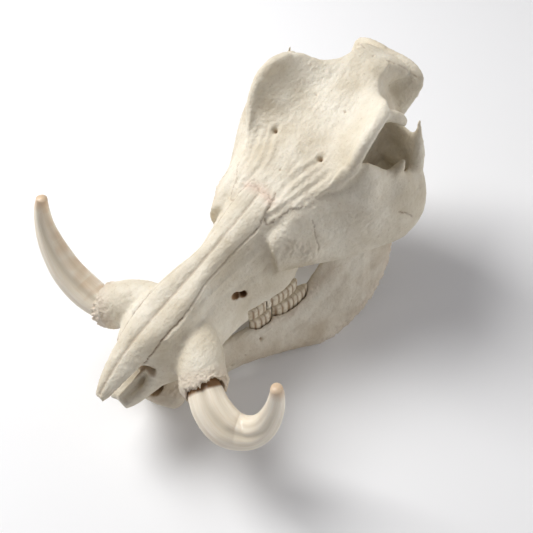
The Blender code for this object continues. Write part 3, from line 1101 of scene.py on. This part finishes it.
@dataclass
class Tusk:
    """An upper tusk: curved, grooved lengthways on its front, blunt at the tip.

    `stained_edge` is how strong the stain is along the inside of the bend. The shares run from the root at 0
    to the tip at 1, and a blend is how far a mask takes to fade.
    """

    side: Side
    stained_edge: float
    finish: IvoryFinish = IvoryFinish("tusk_ivory")
    along: int = 170
    around: int = 72
    groove_way: Spot = (0.39, -0.44, 0.81)
    grooves: tuple[Groove, ...] = (Groove(0.0, 0.26, 0.11, 0.55), Groove(0.9, 0.15, 0.04, 0.25),
                                   Groove(-0.75, 0.20, 0.05, 0.3))
    smooth_tip: float = 4.5
    keel: float = 0.03
    keel_turn: float = 1.05
    waves: float = 0.006
    root_share: float = 0.20
    root_blend: float = 0.02
    tip_share: float = 0.90
    tip_blend: float = 0.08
    tip_stain: float = 0.75
    edge_from: float = 0.55
    edge_blend: float = 0.4

    @property
    def name(self) -> str:
        """The name of the solid it stands for."""
        return "upper_tusk_" + self.side.name.lower()

    def build(self) -> Object:
        """Makes the tusk with its grooves and stains.

        Returns:
            The finished object.
        """
        rows = through(TUSK_CURVE[self.side], self.along)
        headings = np.gradient(rows[:, :3], axis=0)
        bends = np.gradient(headings, axis=0)
        groove_way = mirrored(self.groove_way, self.side)
        turn = full_turn(self.around)
        depth = sum(groove.depth * groove.across(turn) for groove in self.grooves)
        tint = sum(groove.tint * groove.across(turn) for groove in self.grooves)
        keel = self.keel * np.cos(3 * (turn - self.keel_turn))
        rings = []
        masks = {"groove": [], "stain": [], "root": []}
        for share, row, heading, bend in zip(np.linspace(0, 1, self.along), rows, headings, bends):
            heading = unit(heading)
            front = square_to(groove_way, heading)
            radial = np.cos(turn)[:, None] * front + np.sin(turn)[:, None] * np.cross(heading, front)
            fade = min(1.0, (1 - share) * self.smooth_tip)
            waves = [self.waves * noise.noise(Vector((math.cos(angle) * 3, math.sin(angle) * 3, share * 9)))
                     for angle in turn]
            size = row[3] * (1 + keel - fade * depth) * (1 + np.array(waves))
            rings.append(place(row[:3] + size[:, None] * radial, self.side))
            inner = np.clip(radial @ (bend / (np.linalg.norm(bend) + 1e-9)), 0, 1)
            edge = self.stained_edge * np.clip((inner - self.edge_from) / self.edge_blend, 0, 1)
            tip = self.tip_stain * np.clip((share - self.tip_share) / self.tip_blend, 0, 1)
            # Painted shade: the root end is darkened where the tusk meets its socket.
            root = np.clip((self.root_share - share) / self.root_blend, 0, 1)
            # The groove mask is painted shade in the grooves.
            masks["groove"].append(fade * tint)
            masks["stain"].append(np.maximum(edge, tip))
            masks["root"].append(np.full(self.around, root))
        tusk = gather(self.name + "_ivory", [skin(rings, wrap_map=True)])
        paint_rings(tusk, rings, masks)
        for corner in tusk.data.vertices:
            corner.co = Vector(keep_in(corner.co))
        return dress(tusk, self.finish.material(), self.name)


CHEW_LEVEL = 69.0
SLOT_GAP = 0.9
TOOTH_ROW = {
    "upper_front": ((36, 158), (39, 179.5), 85.0, 9.0),
    "upper_molar": ((40, 181.6), (45, 218), 85.0, 10.5),
    "lower_front": ((38.5, 158), (42, 183), 46.0, 10.5),
    "lower_molar": ((43, 185.1), (49.5, 229), 46.0, 12.5),
}


@dataclass
class CheekTooth:
    """One cheek tooth, fluted up its sides into columns."""

    kind: str
    side: Side
    finish: EnamelFinish = EnamelFinish("worn_enamel")
    bite_gap: float = 0.4
    column: float = 6.1
    flute: float = 0.10
    uneven: float = 1.6
    along: int = 90
    around: int = 44
    slot_along: int = 12
    slot_around: int = 16
    fullness: float = 0.5
    end_fullness: float = 3.5

    def outline(self, grow: float, along: int, around: int) -> tuple[list[np.ndarray], list[np.ndarray]]:
        """The tooth's rings from front to back.

        Args:
            grow: How much larger than the tooth they are, in millimetres.
            along: How many rings.
            around: How many points each ring has.

        Returns:
            The rings in skull millimetres, and how deep in a flute each point lies.
        """
        (front_x, front_y), (back_x, back_y), root, wide = TOOTH_ROW[self.kind]
        crown = CHEW_LEVEL + (self.bite_gap if self.kind.startswith("upper") else -self.bite_gap)
        low, high = min(root, crown) - grow, max(root, crown) + grow
        turn = full_turn(around)
        rings, valleys = [], []
        for share in np.linspace(0, 1, along):
            swell = (1 - abs(2 * share - 1) ** self.end_fullness) ** 0.5 if 0 < share < 1 else 0.3
            reach = (2 * share - 1) * (0.5 + grow / (back_y - front_y)) + 0.5
            x = front_x + (back_x - front_x) * reach
            y = front_y + (back_y - front_y) * reach
            stray = self.uneven * noise.noise(Vector((y * 0.17, front_x, low * 0.1)))
            valley = (0.5 - 0.5 * math.cos(2 * math.pi * (y - front_y + stray) / self.column)) ** 3
            across = squared(np.sin(turn), self.fullness)
            upward = squared(np.cos(turn), self.fullness)
            fluted = (wide / 2 + grow) * swell * (1 - (self.flute if grow == 0 else 0.0) * valley)
            rings.append(np.stack([x + fluted * across, np.full(around, y),
                                   (low + high) / 2 + (high - low) / 2 * upward], 1))
            valleys.append(np.clip(np.abs(across), 0, 1) * valley)
        return rings, valleys

    def slot(self) -> BMesh:
        """The slot in the jaw that holds the tooth."""
        rings, _ = self.outline(SLOT_GAP, self.slot_along, self.slot_around)
        return skin([place(ring, self.side) for ring in rings])

    def build(self) -> Object:
        """Makes the tooth.

        Returns:
            The finished object.
        """
        rings, valleys = self.outline(0.0, self.along, self.around)
        placed = [place(ring, self.side) for ring in rings]
        node = f"{self.kind}_tooth_{self.side.name.lower()}"
        tooth = gather(node + "_enamel", [skin(placed)])
        paint_rings(tooth, placed, {"valley": valleys})
        return dress(tooth, self.finish.material(), node)


@dataclass
class Cranium(Bone):
    """The cranium: face, roof, braincase, cheek arches, crest and tusk sockets."""

    bore_room: float = 1.2
    rim: Rim = Rim()

    def sockets(self) -> list[BMesh]:
        """Makes the bores for the tusks and the slots for the upper teeth.

        Returns:
            Their shells, each of which is cut on its own.
        """
        shells = []
        for side, curve in TUSK_CURVE.items():
            bore = tuple((x, y, z, radius + self.bore_room) for x, y, z, radius in curve[:5])
            shells.append(Tube(bore, along=18, around=40).shell(side))
            shells += [CheekTooth(kind, side).slot() for kind in ("upper_front", "upper_molar")]
        return shells

    def extra_carving(self, carver: Carver) -> None:
        """Carves a thick, porous collar round each tusk, with a jagged edge.

        Args:
            carver: What carves the cranium's skin.
        """
        carver.roughen(Rough(self.rim.ring(8.0), 12.0, 0.9, 1.9, tint=0.7))
        carver.stroke(Stroke(self.rim.ring(5.0), 6.0, sink=-1.2))
        for side in Side:
            carver.fray(self.rim, side)


@dataclass
class Mandible(Bone):
    """The lower jaw: two bodies joined at the chin, with broad angles, hinge knobs and muscle spurs."""

    def sockets(self) -> list[BMesh]:
        """The slots for the lower teeth."""
        return [CheekTooth(kind, side).slot() for side in Side for kind in ("lower_front", "lower_molar")]


FACE = (
    (47, ((0, 122), (9, 123), (17, 115), (22, 105), (25, 94), (27, 82), (24, 71), (14, 70), (0, 74))),
    (56, ((0, 127), (10, 128), (18, 120), (25, 109), (31, 98), (33, 85), (29, 73), (18, 71), (0, 75))),
    (74, ((0, 133), (11, 134), (20, 129), (30, 116), (39, 104), (42, 90), (38, 76), (24, 72), (0, 76))),
    (96, ((0, 139), (12, 141), (20, 136), (29, 121), (37, 107), (43, 92), (42, 77), (28, 72), (0, 77))),
    (120, ((0, 146), (10, 148), (17, 143), (24, 128), (31, 113), (38, 94), (40, 77), (29, 71), (0, 78))),
    (150, ((0, 156), (8, 156), (14, 149), (22, 131), (29, 115), (34, 96), (38, 74), (28, 70), (0, 79))),
    (175, ((0, 166), (9, 165), (16, 159), (25, 141), (32, 121), (38, 99), (43, 74), (30, 67.5), (0, 80))),
    (200, ((0, 175), (11, 175), (20, 169), (30, 155), (38, 132), (43, 102), (47, 73), (33, 67), (0, 82))),
    (224, ((0, 184), (18, 185), (34, 181), (42, 165), (46, 137), (42, 107), (40, 82), (30, 74), (0, 86))),
    (245, ((0, 193), (22, 191), (42, 183), (49, 166), (48, 142), (39, 116), (33, 96), (26, 88), (0, 96))),
    (266, ((0, 204), (26, 202), (46, 192), (49, 176), (46, 152), (38, 128), (32, 112), (22, 106), (0, 108))),
)
BRAINCASE = (
    (250, 40, 150, 42), (275, 42, 160, 44), (300, 41, 166, 48), (325, 44, 171, 54), (350, 44, 170, 60),
    (372, 38, 164, 58), (387, 28, 152, 44), (396, 15, 142, 24),
)
ROOF = (
    (206, ((0, 178), (14, 178), (22, 174), (30, 167), (26, 156), (18, 154), (9, 154), (0, 154))),
    (238, ((0, 190), (18, 190), (31, 187), (41, 181), (38, 168), (26, 168), (13, 170), (0, 170))),
    (256, ((0, 200), (20, 199), (37, 196), (51, 196), (48, 182), (36, 180), (18, 182), (0, 182))),
    (270, ((0, 207), (24, 205), (45, 209), (60, 218), (57, 204), (44, 193), (22, 190), (0, 190))),
    (282, ((0, 212), (26, 211), (45, 221), (60, 236), (58, 222), (46, 205), (24, 196), (0, 196))),
    (294, ((0, 217), (26, 217), (45, 228), (59, 244), (58, 231), (46, 213), (24, 202), (0, 200))),
    (306, ((0, 221), (26, 221), (44, 232), (56, 247), (56, 235), (45, 217), (24, 206), (0, 204))),
    (317, ((0, 225), (24, 225), (42, 235), (53, 246), (54, 236), (42, 221), (22, 210), (0, 208))),
    (327, ((0, 229), (18, 229), (35, 236), (49, 245), (50, 234), (36, 220), (18, 212), (0, 210))),
    (338, ((0, 235), (13, 235), (24, 237), (34, 238), (35, 226), (26, 216), (13, 212), (0, 210))),
    (352, ((0, 240), (10, 241), (17, 240), (23, 236), (25, 222), (19, 214), (10, 212), (0, 210))),
    (366, ((0, 241), (9, 242), (15, 241), (20, 237), (23, 222), (17, 214), (9, 210), (0, 210))),
    (380, ((0, 238), (9, 239), (16, 238), (22, 234), (24, 222), (18, 212), (10, 208), (0, 208))),
    (394, ((0, 232), (10, 233), (20, 232), (29, 229), (29, 220), (20, 212), (10, 208), (0, 206))),
)
CHEEK = (
    ((28, 194, 156), (34, 196, 108), 26, 1),
    ((33, 222, 176), (46, 211, 112), 20, 3),
    ((40, 239, 180), (62, 231, 113), 16, 2),
    ((47, 257, 187), (74, 251, 111), 14, 2),
    ((57, 270, 200), (82, 267, 109), 13, 3),
    ((65, 281, 215), (88, 281, 109), 13, 3),
    ((70, 293, 205), (95, 295, 110), 13, 3),
    ((75, 306, 193), (101, 307, 112), 13, 3),
    ((79, 317, 190), (103, 321, 115), 12, 4),
    ((80, 328, 177), (102, 334, 121), 13, 5),
    ((79, 338, 176), (97, 345, 131), 11, 4),
    ((75, 346, 180), (86, 353, 142), 10, 2),
    ((66, 356, 180), (71, 363, 148), 14, 1),
    ((50, 368, 178), (55, 372, 146), 20, 0),
)
CREST = (
    ((0, 403, 230), (0, 368, 190), 20, 0),
    ((14, 404, 231), (10, 368, 188), 14, 0),
    ((27, 404, 230), (18, 367, 184), 9, -2),
    ((38, 404, 225), (25, 367, 178), 7, -3),
    ((43, 404, 215), (30, 366, 171), 7, -4),
    ((42, 402, 204), (33, 366, 164), 8, -4),
    ((36, 397, 192), (35, 366, 156), 10, -3),
    ((34, 388, 178), (35, 366, 146), 12, 0),
    ((37, 378, 160), (36, 366, 130), 15, 0),
)
NASAL_TIP = (
    ((0, 2, 87), (4, 1, 81), 4, 0),
    ((0, 10, 96), (8, 9, 87), 6, 0),
    ((0, 22, 106), (12, 21, 96), 7, 0),
    ((0, 36, 116), (15, 35, 105), 8, 0),
    ((0, 54, 125), (17, 54, 112), 12, 0),
)
PREMAXILLA = (
    ((13, 15, 75), (16, 15, 66), 6, 0), ((15, 24, 76), (18, 24, 64), 8, 0),
    ((17, 34, 79), (20, 34, 64), 8, 0), ((19, 45, 88), (22, 46, 66), 9, 0),
    ((19, 54, 104), (24, 54, 68), 10, 0),
)
PREMAXILLA_RIDGE = (
    ((8, 15, 79), (8, 16, 67), 3.4, 0), ((9, 34, 86), (9, 35, 67), 3.4, 0), ((10, 52, 94), (11, 54, 68), 4, 0),
)
PALATE_SHELF = (
    ((0, 16, 69), (15, 16, 69), 5, 0), ((0, 34, 70), (19, 34, 70), 6, 0), ((0, 56, 74), (22, 56, 73), 7, 0),
)
TEMPLE_WALL = (
    ((36, 350, 208), (36, 346, 118), 8, 0), ((52, 352, 206), (54, 350, 132), 7, 0),
    ((62, 350, 204), (68, 348, 148), 7, 0), ((70, 347, 208), (78, 345, 158), 7, 0),
    ((76, 343, 218), (85, 342, 165), 7, 0),
)
PTERYGOID = (
    ((22, 236, 100), (24, 236, 80), 10, 0),
    ((23, 256, 116), (24, 254, 84), 6, 0),
    ((24, 274, 124), (25, 276, 90), 6, 0),
    ((25, 290, 130), (26, 288, 108), 9, 0),
)
PALATE_FRONT = (
    (0, 16, 70, 4), (0, 32, 71, 5.5), (0, 52, 75, 8),
)
TUSK_SOCKET = (
    (26, 100, 104, 18), (42, 89, 101, 21), (54, 78.5, 96, 22), (64, 71.5, 90.5, 21.5),
)
EYE_HOOK = ((54, 317, 236, 6.5), (60, 326, 234, 6), (65, 333, 228, 5), (67, 335, 222, 3))
EYE_BROW = ((50, 260, 192, 6), (59, 270, 212, 6), (61, 282, 232, 6), (60, 298, 242, 6), (56, 315, 243, 6))
CHEEK_HORN = ((79, 308, 184, 7), (81, 315, 191, 5.5), (82, 319, 199, 3))
SQUAMOSAL_HORN = ((84, 343, 172, 7), (82, 344, 192, 6), (79, 343, 210, 4), (76, 344, 228, 2))
JAW_HINGE_ROOF = ((52, 352, 166, 13), (66, 347, 166, 10), (77, 346, 164, 8))
EAR_BULLA = ((28, 320, 122, 10), (30, 336, 112, 13), (30, 352, 118, 12))
NECK_SPUR = ((36, 370, 138, 10), (38, 370, 116, 8), (38, 368, 94, 6), (37, 365, 80, 3))
CONDYLE = ((10, 385, 122, 12), (19, 392, 128, 13), (25, 391, 138, 9))
NOSE_HOLLOW = (
    (0, 10, 81, 4), (0, 22, 87, 8), (0, 38, 94, 12), (0, 58, 100, 14), (0, 82, 105, 15), (0, 130, 110, 15),
)
NOSTRIL = ((11, 5, 83, 4.5), (14, 16, 89, 6.5), (17, 29, 94, 8), (20, 41, 98, 7.5), (16, 54, 101, 6))
THROAT_HOLLOW = ((0, 236, 104, 8), (0, 256, 100, 16), (0, 276, 96, 20), (0, 296, 92, 24))
NECK_HOLLOW = ((0, 370, 140, 9), (0, 388, 140, 12), (0, 410, 140, 14))
EYE_HOLLOW = ((54, 312, 214, 12), (64, 312, 218, 16), (78, 312, 221, 20), (98, 313, 228, 26))
FRONT_CHEEK_HOLES = (
    ((24, 156, 108, 3.5), (31, 148, 115, 4.2), (40, 141, 122, 5.2)),
    ((25, 163, 104, 3), (32, 157, 110, 3.8), (41, 151, 116, 4.4)),
)

JAW_BODY = (
    ((10, 52, 55), (8, 68, 6), 18, 0), ((17, 66, 57), (14, 86, -2), 18, 2),
    ((24, 94, 59), (26, 108, 2), 17, 3), ((31, 124, 62), (36, 134, 11), 16, 3),
    ((38, 154, 60), (48, 160, 11), 19, 3), ((42, 185, 57), (64, 190, 6), 21, 3),
    ((48, 215, 57), (80, 222, -2), 20, 3), ((51, 236, 66), (87, 248, -2), 15, 2),
)
JAW_RAMUS = (
    ((48, 226, 60), (80, 226, 0), 17, 2),
    ((51, 241, 84), (87, 251, -2), 12, 2),
    ((55, 254, 110), (90, 277, 6), 10, 2),
    ((57, 270, 138), (89, 302, 18), 9, 2),
    ((60, 290, 152), (86, 320, 38), 9, 1),
    ((62, 310, 148), (79, 334, 66), 9, 0),
    ((64, 326, 146), (71, 343, 96), 11, 0),
)
CHIN = ((-28, 64, 38, 14), (-13, 58, 43, 16), (0, 56, 44, 16), (13, 58, 43, 16), (28, 64, 38, 14))
CHIN_HEEL = ((-16, 78, 18, 17), (0, 76, 17, 19), (16, 78, 18, 17))
JAW_CONDYLE = ((56, 336, 141, 8), (65, 334, 143, 9), (74, 335, 142, 8))
CORONOID = ((56, 284, 140, 7), (58, 294, 158, 5.5), (59, 302, 168, 3))
CHIN_SOCKET = ((12, 68, 44, 5), (15, 53, 54, 7), (18, 40, 62, 8.5))

NASAL_SEAM = ((18, 45, 112), (20, 70, 128), (20, 92, 134), (18, 110, 140), (15, 130, 146), (14, 147, 148),
              (16, 171, 157), (19, 190, 165), (17, 203, 173), (16, 212, 180), (13, 222, 184))
CRANIUM_STROKES = (
    Stroke(((0, 4, 91), (0, 31, 114), (0, 54, 127), (0, 83, 136), (0, 107, 143), (0, 137, 152), (0, 172, 165),
            (0, 212, 181)), 2.0, sink=1.1, tint=0.45, mirrored=False),
    Stroke(NASAL_SEAM[:3], 1.3, sink=1.0, wander=0.8, tint=0.9),
    Stroke(NASAL_SEAM[2:8], 1.5, sink=1.0, wander=0.8, tint=0.35),
    Stroke(NASAL_SEAM[7:], 1.3, sink=0.8, wander=1.2, tint=0.6),
    Stroke(tuple((x + 3.2, y, z - 1) for x, y, z in NASAL_SEAM[1:8]), 2.6, sink=-1.0),
    Stroke(((18, 201, 170), (23, 201, 166), (28, 210, 173), (33, 220, 178), (41, 231, 179)), 1.2, sink=0.6,
           wander=1.6, tint=0.6),
    Stroke(((16, 212, 180), (8, 217, 182), (0, 215, 182)), 1.2, sink=0.5, wander=1.8, tint=0.5),
    Stroke(((14, 214, 181), (0, 218, 182)), 9.0, mark=Mark.BLUSH, tint=0.5),
    Stroke(((28, 269, 205), (25, 258, 200), (20, 247, 195), (17, 236, 190), (17, 222, 184), (18, 210, 178),
            (20, 200, 170)), 4.0, sink=1.1, lip=0.3),
    pit((27, 266, 204), 3.2, 5.0, 1.0),
    Stroke(((33, 262, 201), (27, 240, 192), (22, 216, 181)), 3.0, sink=0.5, wander=1.5),
    Stroke(((42, 262, 199), (35, 240, 189), (27, 220, 179), (21, 203, 171)), 3.4, sink=0.9, lip=0.3,
           wander=1.2),
    Stroke(((12, 262, 203), (10, 243, 193), (11, 224, 185)), 3.4, sink=0.5, wander=1.5),
    Stroke(((49, 250, 187), (41, 234, 181), (34, 219, 175)), 2.8, sink=0.5, wander=1.5),
    pit((2, 241, 191), 1.6, 1.4, 0.8, mirrored_too=False),
    pit((17, 312, 223), 1.6, 1.4, 0.8),
    pit((1, 373, 240), 2.4, 1.6, 0.3, mirrored_too=False),
    pit((63, 281, 222), 2.0, 2.5, 0.9),
    pit((68, 288, 206), 2.0, 2.5, 0.9),
    Stroke(((54, 229, 170), (57, 228, 160), (60, 227, 150), (63, 226, 140)), 1.3, sink=0.7, wander=1.4,
           tint=0.55),
    Stroke(((96, 302, 153), (100, 310, 147), (103, 318, 138)), 1.3, sink=0.8, wander=1.2, tint=0.7),
    Stroke(((13, 377, 240), (20, 383, 235), (27, 391, 228), (36, 398, 219)), 1.2, sink=0.4, tint=0.55),
    Stroke(((60, 320, 243), (50, 326, 243), (38, 338, 238), (25, 351, 238), (20, 361, 237), (16, 374, 238)),
           3.4, sink=-1.2),
    Stroke(((36, 224, 180), (41, 232, 180), (47, 250, 190), (54, 264, 203), (62, 273, 214)), 3.2, sink=-1.3),
    Stroke(((30, 100, 121), (28, 130, 124), (30, 160, 122), (36, 185, 124), (42, 202, 150)), 5.0, sink=1.4),
    Stroke(((22, 72, 126), (24, 100, 131), (22, 130, 134), (24, 160, 138), (30, 186, 148)), 4.0, sink=-1.0),
)
CRANIUM_SWELLS = (
    Swell((49, 208, 148), 22, 1.6),
    Swell((57, 220, 136), 16, 2.6),
    Swell((40, 190, 120), 20, -2.0),
    Swell((84, 293, 178), 20, -2.0),
    Swell((60, 226, 140), 18, 1.5),
    Swell((0, 290, 218), 34, -2.0, mirrored=False),
)
CRANIUM_ROUGH = (
    Rough(((67, 60, 105), (71, 76, 112), (76, 84, 104)), 9, 0.7, 2.2, tint=0.5),
    Rough(((20, 205, 172), (30, 222, 180), (44, 240, 184)), 12, 0.5, 4.0, tint=0.1),
    Rough(((48, 208, 150), (54, 216, 142), (58, 222, 132)), 15, 1.1, 3.4, tint=0.15),
    Rough(((60, 240, 172), (72, 262, 160), (84, 290, 150)), 22, 0.5, 4.0, tint=0.05),
)
JAW_STROKES = (
    pit((52, 159, 50), 2.6, 3.5, 1.0),
    pit((43, 125, 31), 2.4, 3.0, 1.0),
    pit((46, 140, 40), 1.6, 1.5, 0.6),
    Stroke(((60, 186, 40), (70, 215, 44), (76, 245, 60), (76, 268, 84)), 8.0, sink=1.2),
    Stroke(((86, 240, 14), (90, 265, 14), (90, 290, 26), (87, 308, 44)), 5.0, sink=-1.0),
    Stroke(((89, 276, 28), (83, 280, 60), (78, 284, 92)), 5.0, sink=-0.8, wander=1.5),
    Stroke(((89, 290, 36), (84, 292, 62), (80, 294, 92)), 4.5, sink=0.8, wander=1.5),
    # Painted shade: a broad dark patch on the jaw just below the cheek arch.
    Stroke(((60, 236, 70), (66, 247, 88)), 9.0, mark=Mark.CAVITY, tint=0.3),
)
JAW_ROUGH = (
    Rough(((84, 226, 4), (90, 255, 4), (90, 285, 16), (86, 312, 36), (80, 332, 62)), 14, 1.6, 4.0, tint=0.6),
    Rough(((46, 176, 60), (52, 205, 58), (56, 232, 64)), 9, 0.8, 2.6, tint=0.5),
    Rough(((8, 48, 50), (20, 56, 48), (28, 64, 44)), 12, 0.8, 2.6, tint=0.5),
)


def make_cranium() -> Cranium:
    """Puts the cranium's tables together.

    Returns:
        The cranium, ready to build.
    """
    tubes = (TUSK_SOCKET, EYE_HOOK, EYE_BROW, CHEEK_HORN, SQUAMOSAL_HORN, JAW_HINGE_ROOF, EAR_BULLA, NECK_SPUR,
             CONDYLE)
    plates = (CHEEK, CREST, NASAL_TIP, PREMAXILLA, PREMAXILLA_RIDGE, PALATE_SHELF, PTERYGOID, TEMPLE_WALL)
    return Cranium(
        name="cranium", slot="bone", finish=BoneFinish("bleached_bone"),
        middle=(Sections(FACE), Ovals(BRAINCASE), Sections(ROOF), Tube(PALATE_FRONT)),
        paired=tuple(Plate(table) for table in plates) + tuple(Tube(table) for table in tubes),
        # Each hollow's number is how much painted shade darkens the bone inside it.
        hollows=(Hollow(Tube(NOSE_HOLLOW), 0.8), Hollow(Tube(THROAT_HOLLOW), 0.4),
                 Hollow(Tube(NECK_HOLLOW), 0.7)),
        paired_hollows=(Hollow(Tube(EYE_HOLLOW), 0.0), Hollow(Tube(NOSTRIL), 0.45, 1.3))
        + tuple(Hollow(Tube(table), 1.0) for table in FRONT_CHEEK_HOLES),
        swells=CRANIUM_SWELLS, strokes=CRANIUM_STROKES, rough=CRANIUM_ROUGH)


def make_mandible() -> Mandible:
    """Puts the lower jaw's tables together.

    Returns:
        The lower jaw, ready to build.
    """
    return Mandible(
        name="mandible", slot="jaw_bone",
        # Painted shade: the jaw's bone is the cranium's bone colour made darker.
        finish=BoneFinish("shade_darkened_bone", light=(0.76, 0.70, 0.58, 1.0), dark=(0.55, 0.46, 0.34, 1.0)),
        middle=(Tube(CHIN), Tube(CHIN_HEEL)),
        paired=(Plate(JAW_BODY), Plate(JAW_RAMUS), Tube(JAW_CONDYLE), Tube(CORONOID)),
        # The chin sockets are darkened inside with painted shade.
        hollows=(), paired_hollows=(Hollow(Tube(CHIN_SOCKET), 0.7),),
        swells=(), strokes=JAW_STROKES, rough=JAW_ROUGH, most=150000)


@dataclass
class Studio:
    """A pale floor, soft light and the camera at the photograph's viewing angle.

    Each lamp is its name, its way from the skull, its distance and side in metres, and its power in watts.
    """

    lamps: tuple = (
        ("key", (-0.62, -0.14, 0.78), 1.7, 0.9, 32.0),
        ("fill", (0.9, 0.0, 0.5), 2.2, 1.6, 3.4),
        ("rim", (0.70, 0.66, 0.30), 2.0, 1.2, 10.0),
    )
    lit_height: float = 0.1
    sky: Colour = (0.96, 0.94, 1.0, 1.0)
    sky_strength: float = 0.19
    turn: float = 42.0
    lift: float = 54.0
    lens: float = 52.69
    camera_at: Spot = (319.26, -130.10, 713.61)
    floor_size: float = 8.0
    floor_drop: float = 0.0001

    def away(self) -> Vector:
        """The way from the object to the camera."""
        turn, lift = math.radians(self.turn), math.radians(self.lift)
        return Vector((math.sin(turn) * math.cos(lift), -math.cos(turn) * math.cos(lift), math.sin(lift)))

    def add_camera(self) -> None:
        """Sets up the camera."""
        data = bpy.data.cameras.new("camera")
        data.lens = self.lens
        data.clip_end = 50.0
        camera = bpy.data.objects.new("camera", data)
        bpy.context.scene.collection.objects.link(camera)
        camera.location = place(self.camera_at)
        camera.rotation_euler = self.away().to_track_quat("Z", "Y").to_euler()
        bpy.context.scene.camera = camera

    def add_light(self, name: str, way: Spot, distance: float, size: float, power: float) -> None:
        """Hangs one soft square light.

        Args:
            name: The light's name.
            way: The way from the skull to the light.
            distance: How far off it hangs, in metres.
            size: Its side, in metres.
            power: Its power, in watts.
        """
        data = bpy.data.lights.new(name, "AREA")
        data.size = size
        data.energy = power
        lamp = bpy.data.objects.new(name, data)
        bpy.context.scene.collection.objects.link(lamp)
        towards = Vector(way).normalized()
        lamp.location = Vector((0, 0, self.lit_height)) + towards * distance
        lamp.rotation_euler = towards.to_track_quat("Z", "Y").to_euler()

    def build(self) -> None:
        """Builds the floor, the light and the camera."""
        shape = bmesh.new()
        bmesh.ops.create_grid(shape, x_segments=8, y_segments=8, size=self.floor_size / 2)
        bmesh.ops.translate(shape, vec=(0, 0, -self.floor_drop), verts=shape.verts)
        floor = gather("studio_floor", [shape])
        floor.data.materials.append(FloorFinish("pale_floor").material())
        for lamp in self.lamps:
            self.add_light(*lamp)
        world = bpy.data.worlds.new("studio")
        world.use_nodes = True
        background = world.node_tree.nodes["Background"]
        background.inputs["Color"].default_value = self.sky
        background.inputs["Strength"].default_value = self.sky_strength
        bpy.context.scene.world = world
        bpy.context.scene.view_settings.view_transform = "Standard"
        self.add_camera()


def main() -> None:
    """Builds every piece in order."""
    logging.basicConfig(level=logging.INFO, format="%(name)s: %(message)s")
    Studio().build()
    makers = [make_cranium(), make_mandible(), Tusk(Side.LEFT, 0.12), Tusk(Side.RIGHT, 0.5)]
    makers += [CheekTooth(kind, side) for side in Side for kind in TOOTH_ROW]
    for maker in makers:
        piece = maker.build()
        LOG.info("%s: %d triangles", piece.name, triangles_in(piece))


if __name__ == "__main__":
    main()
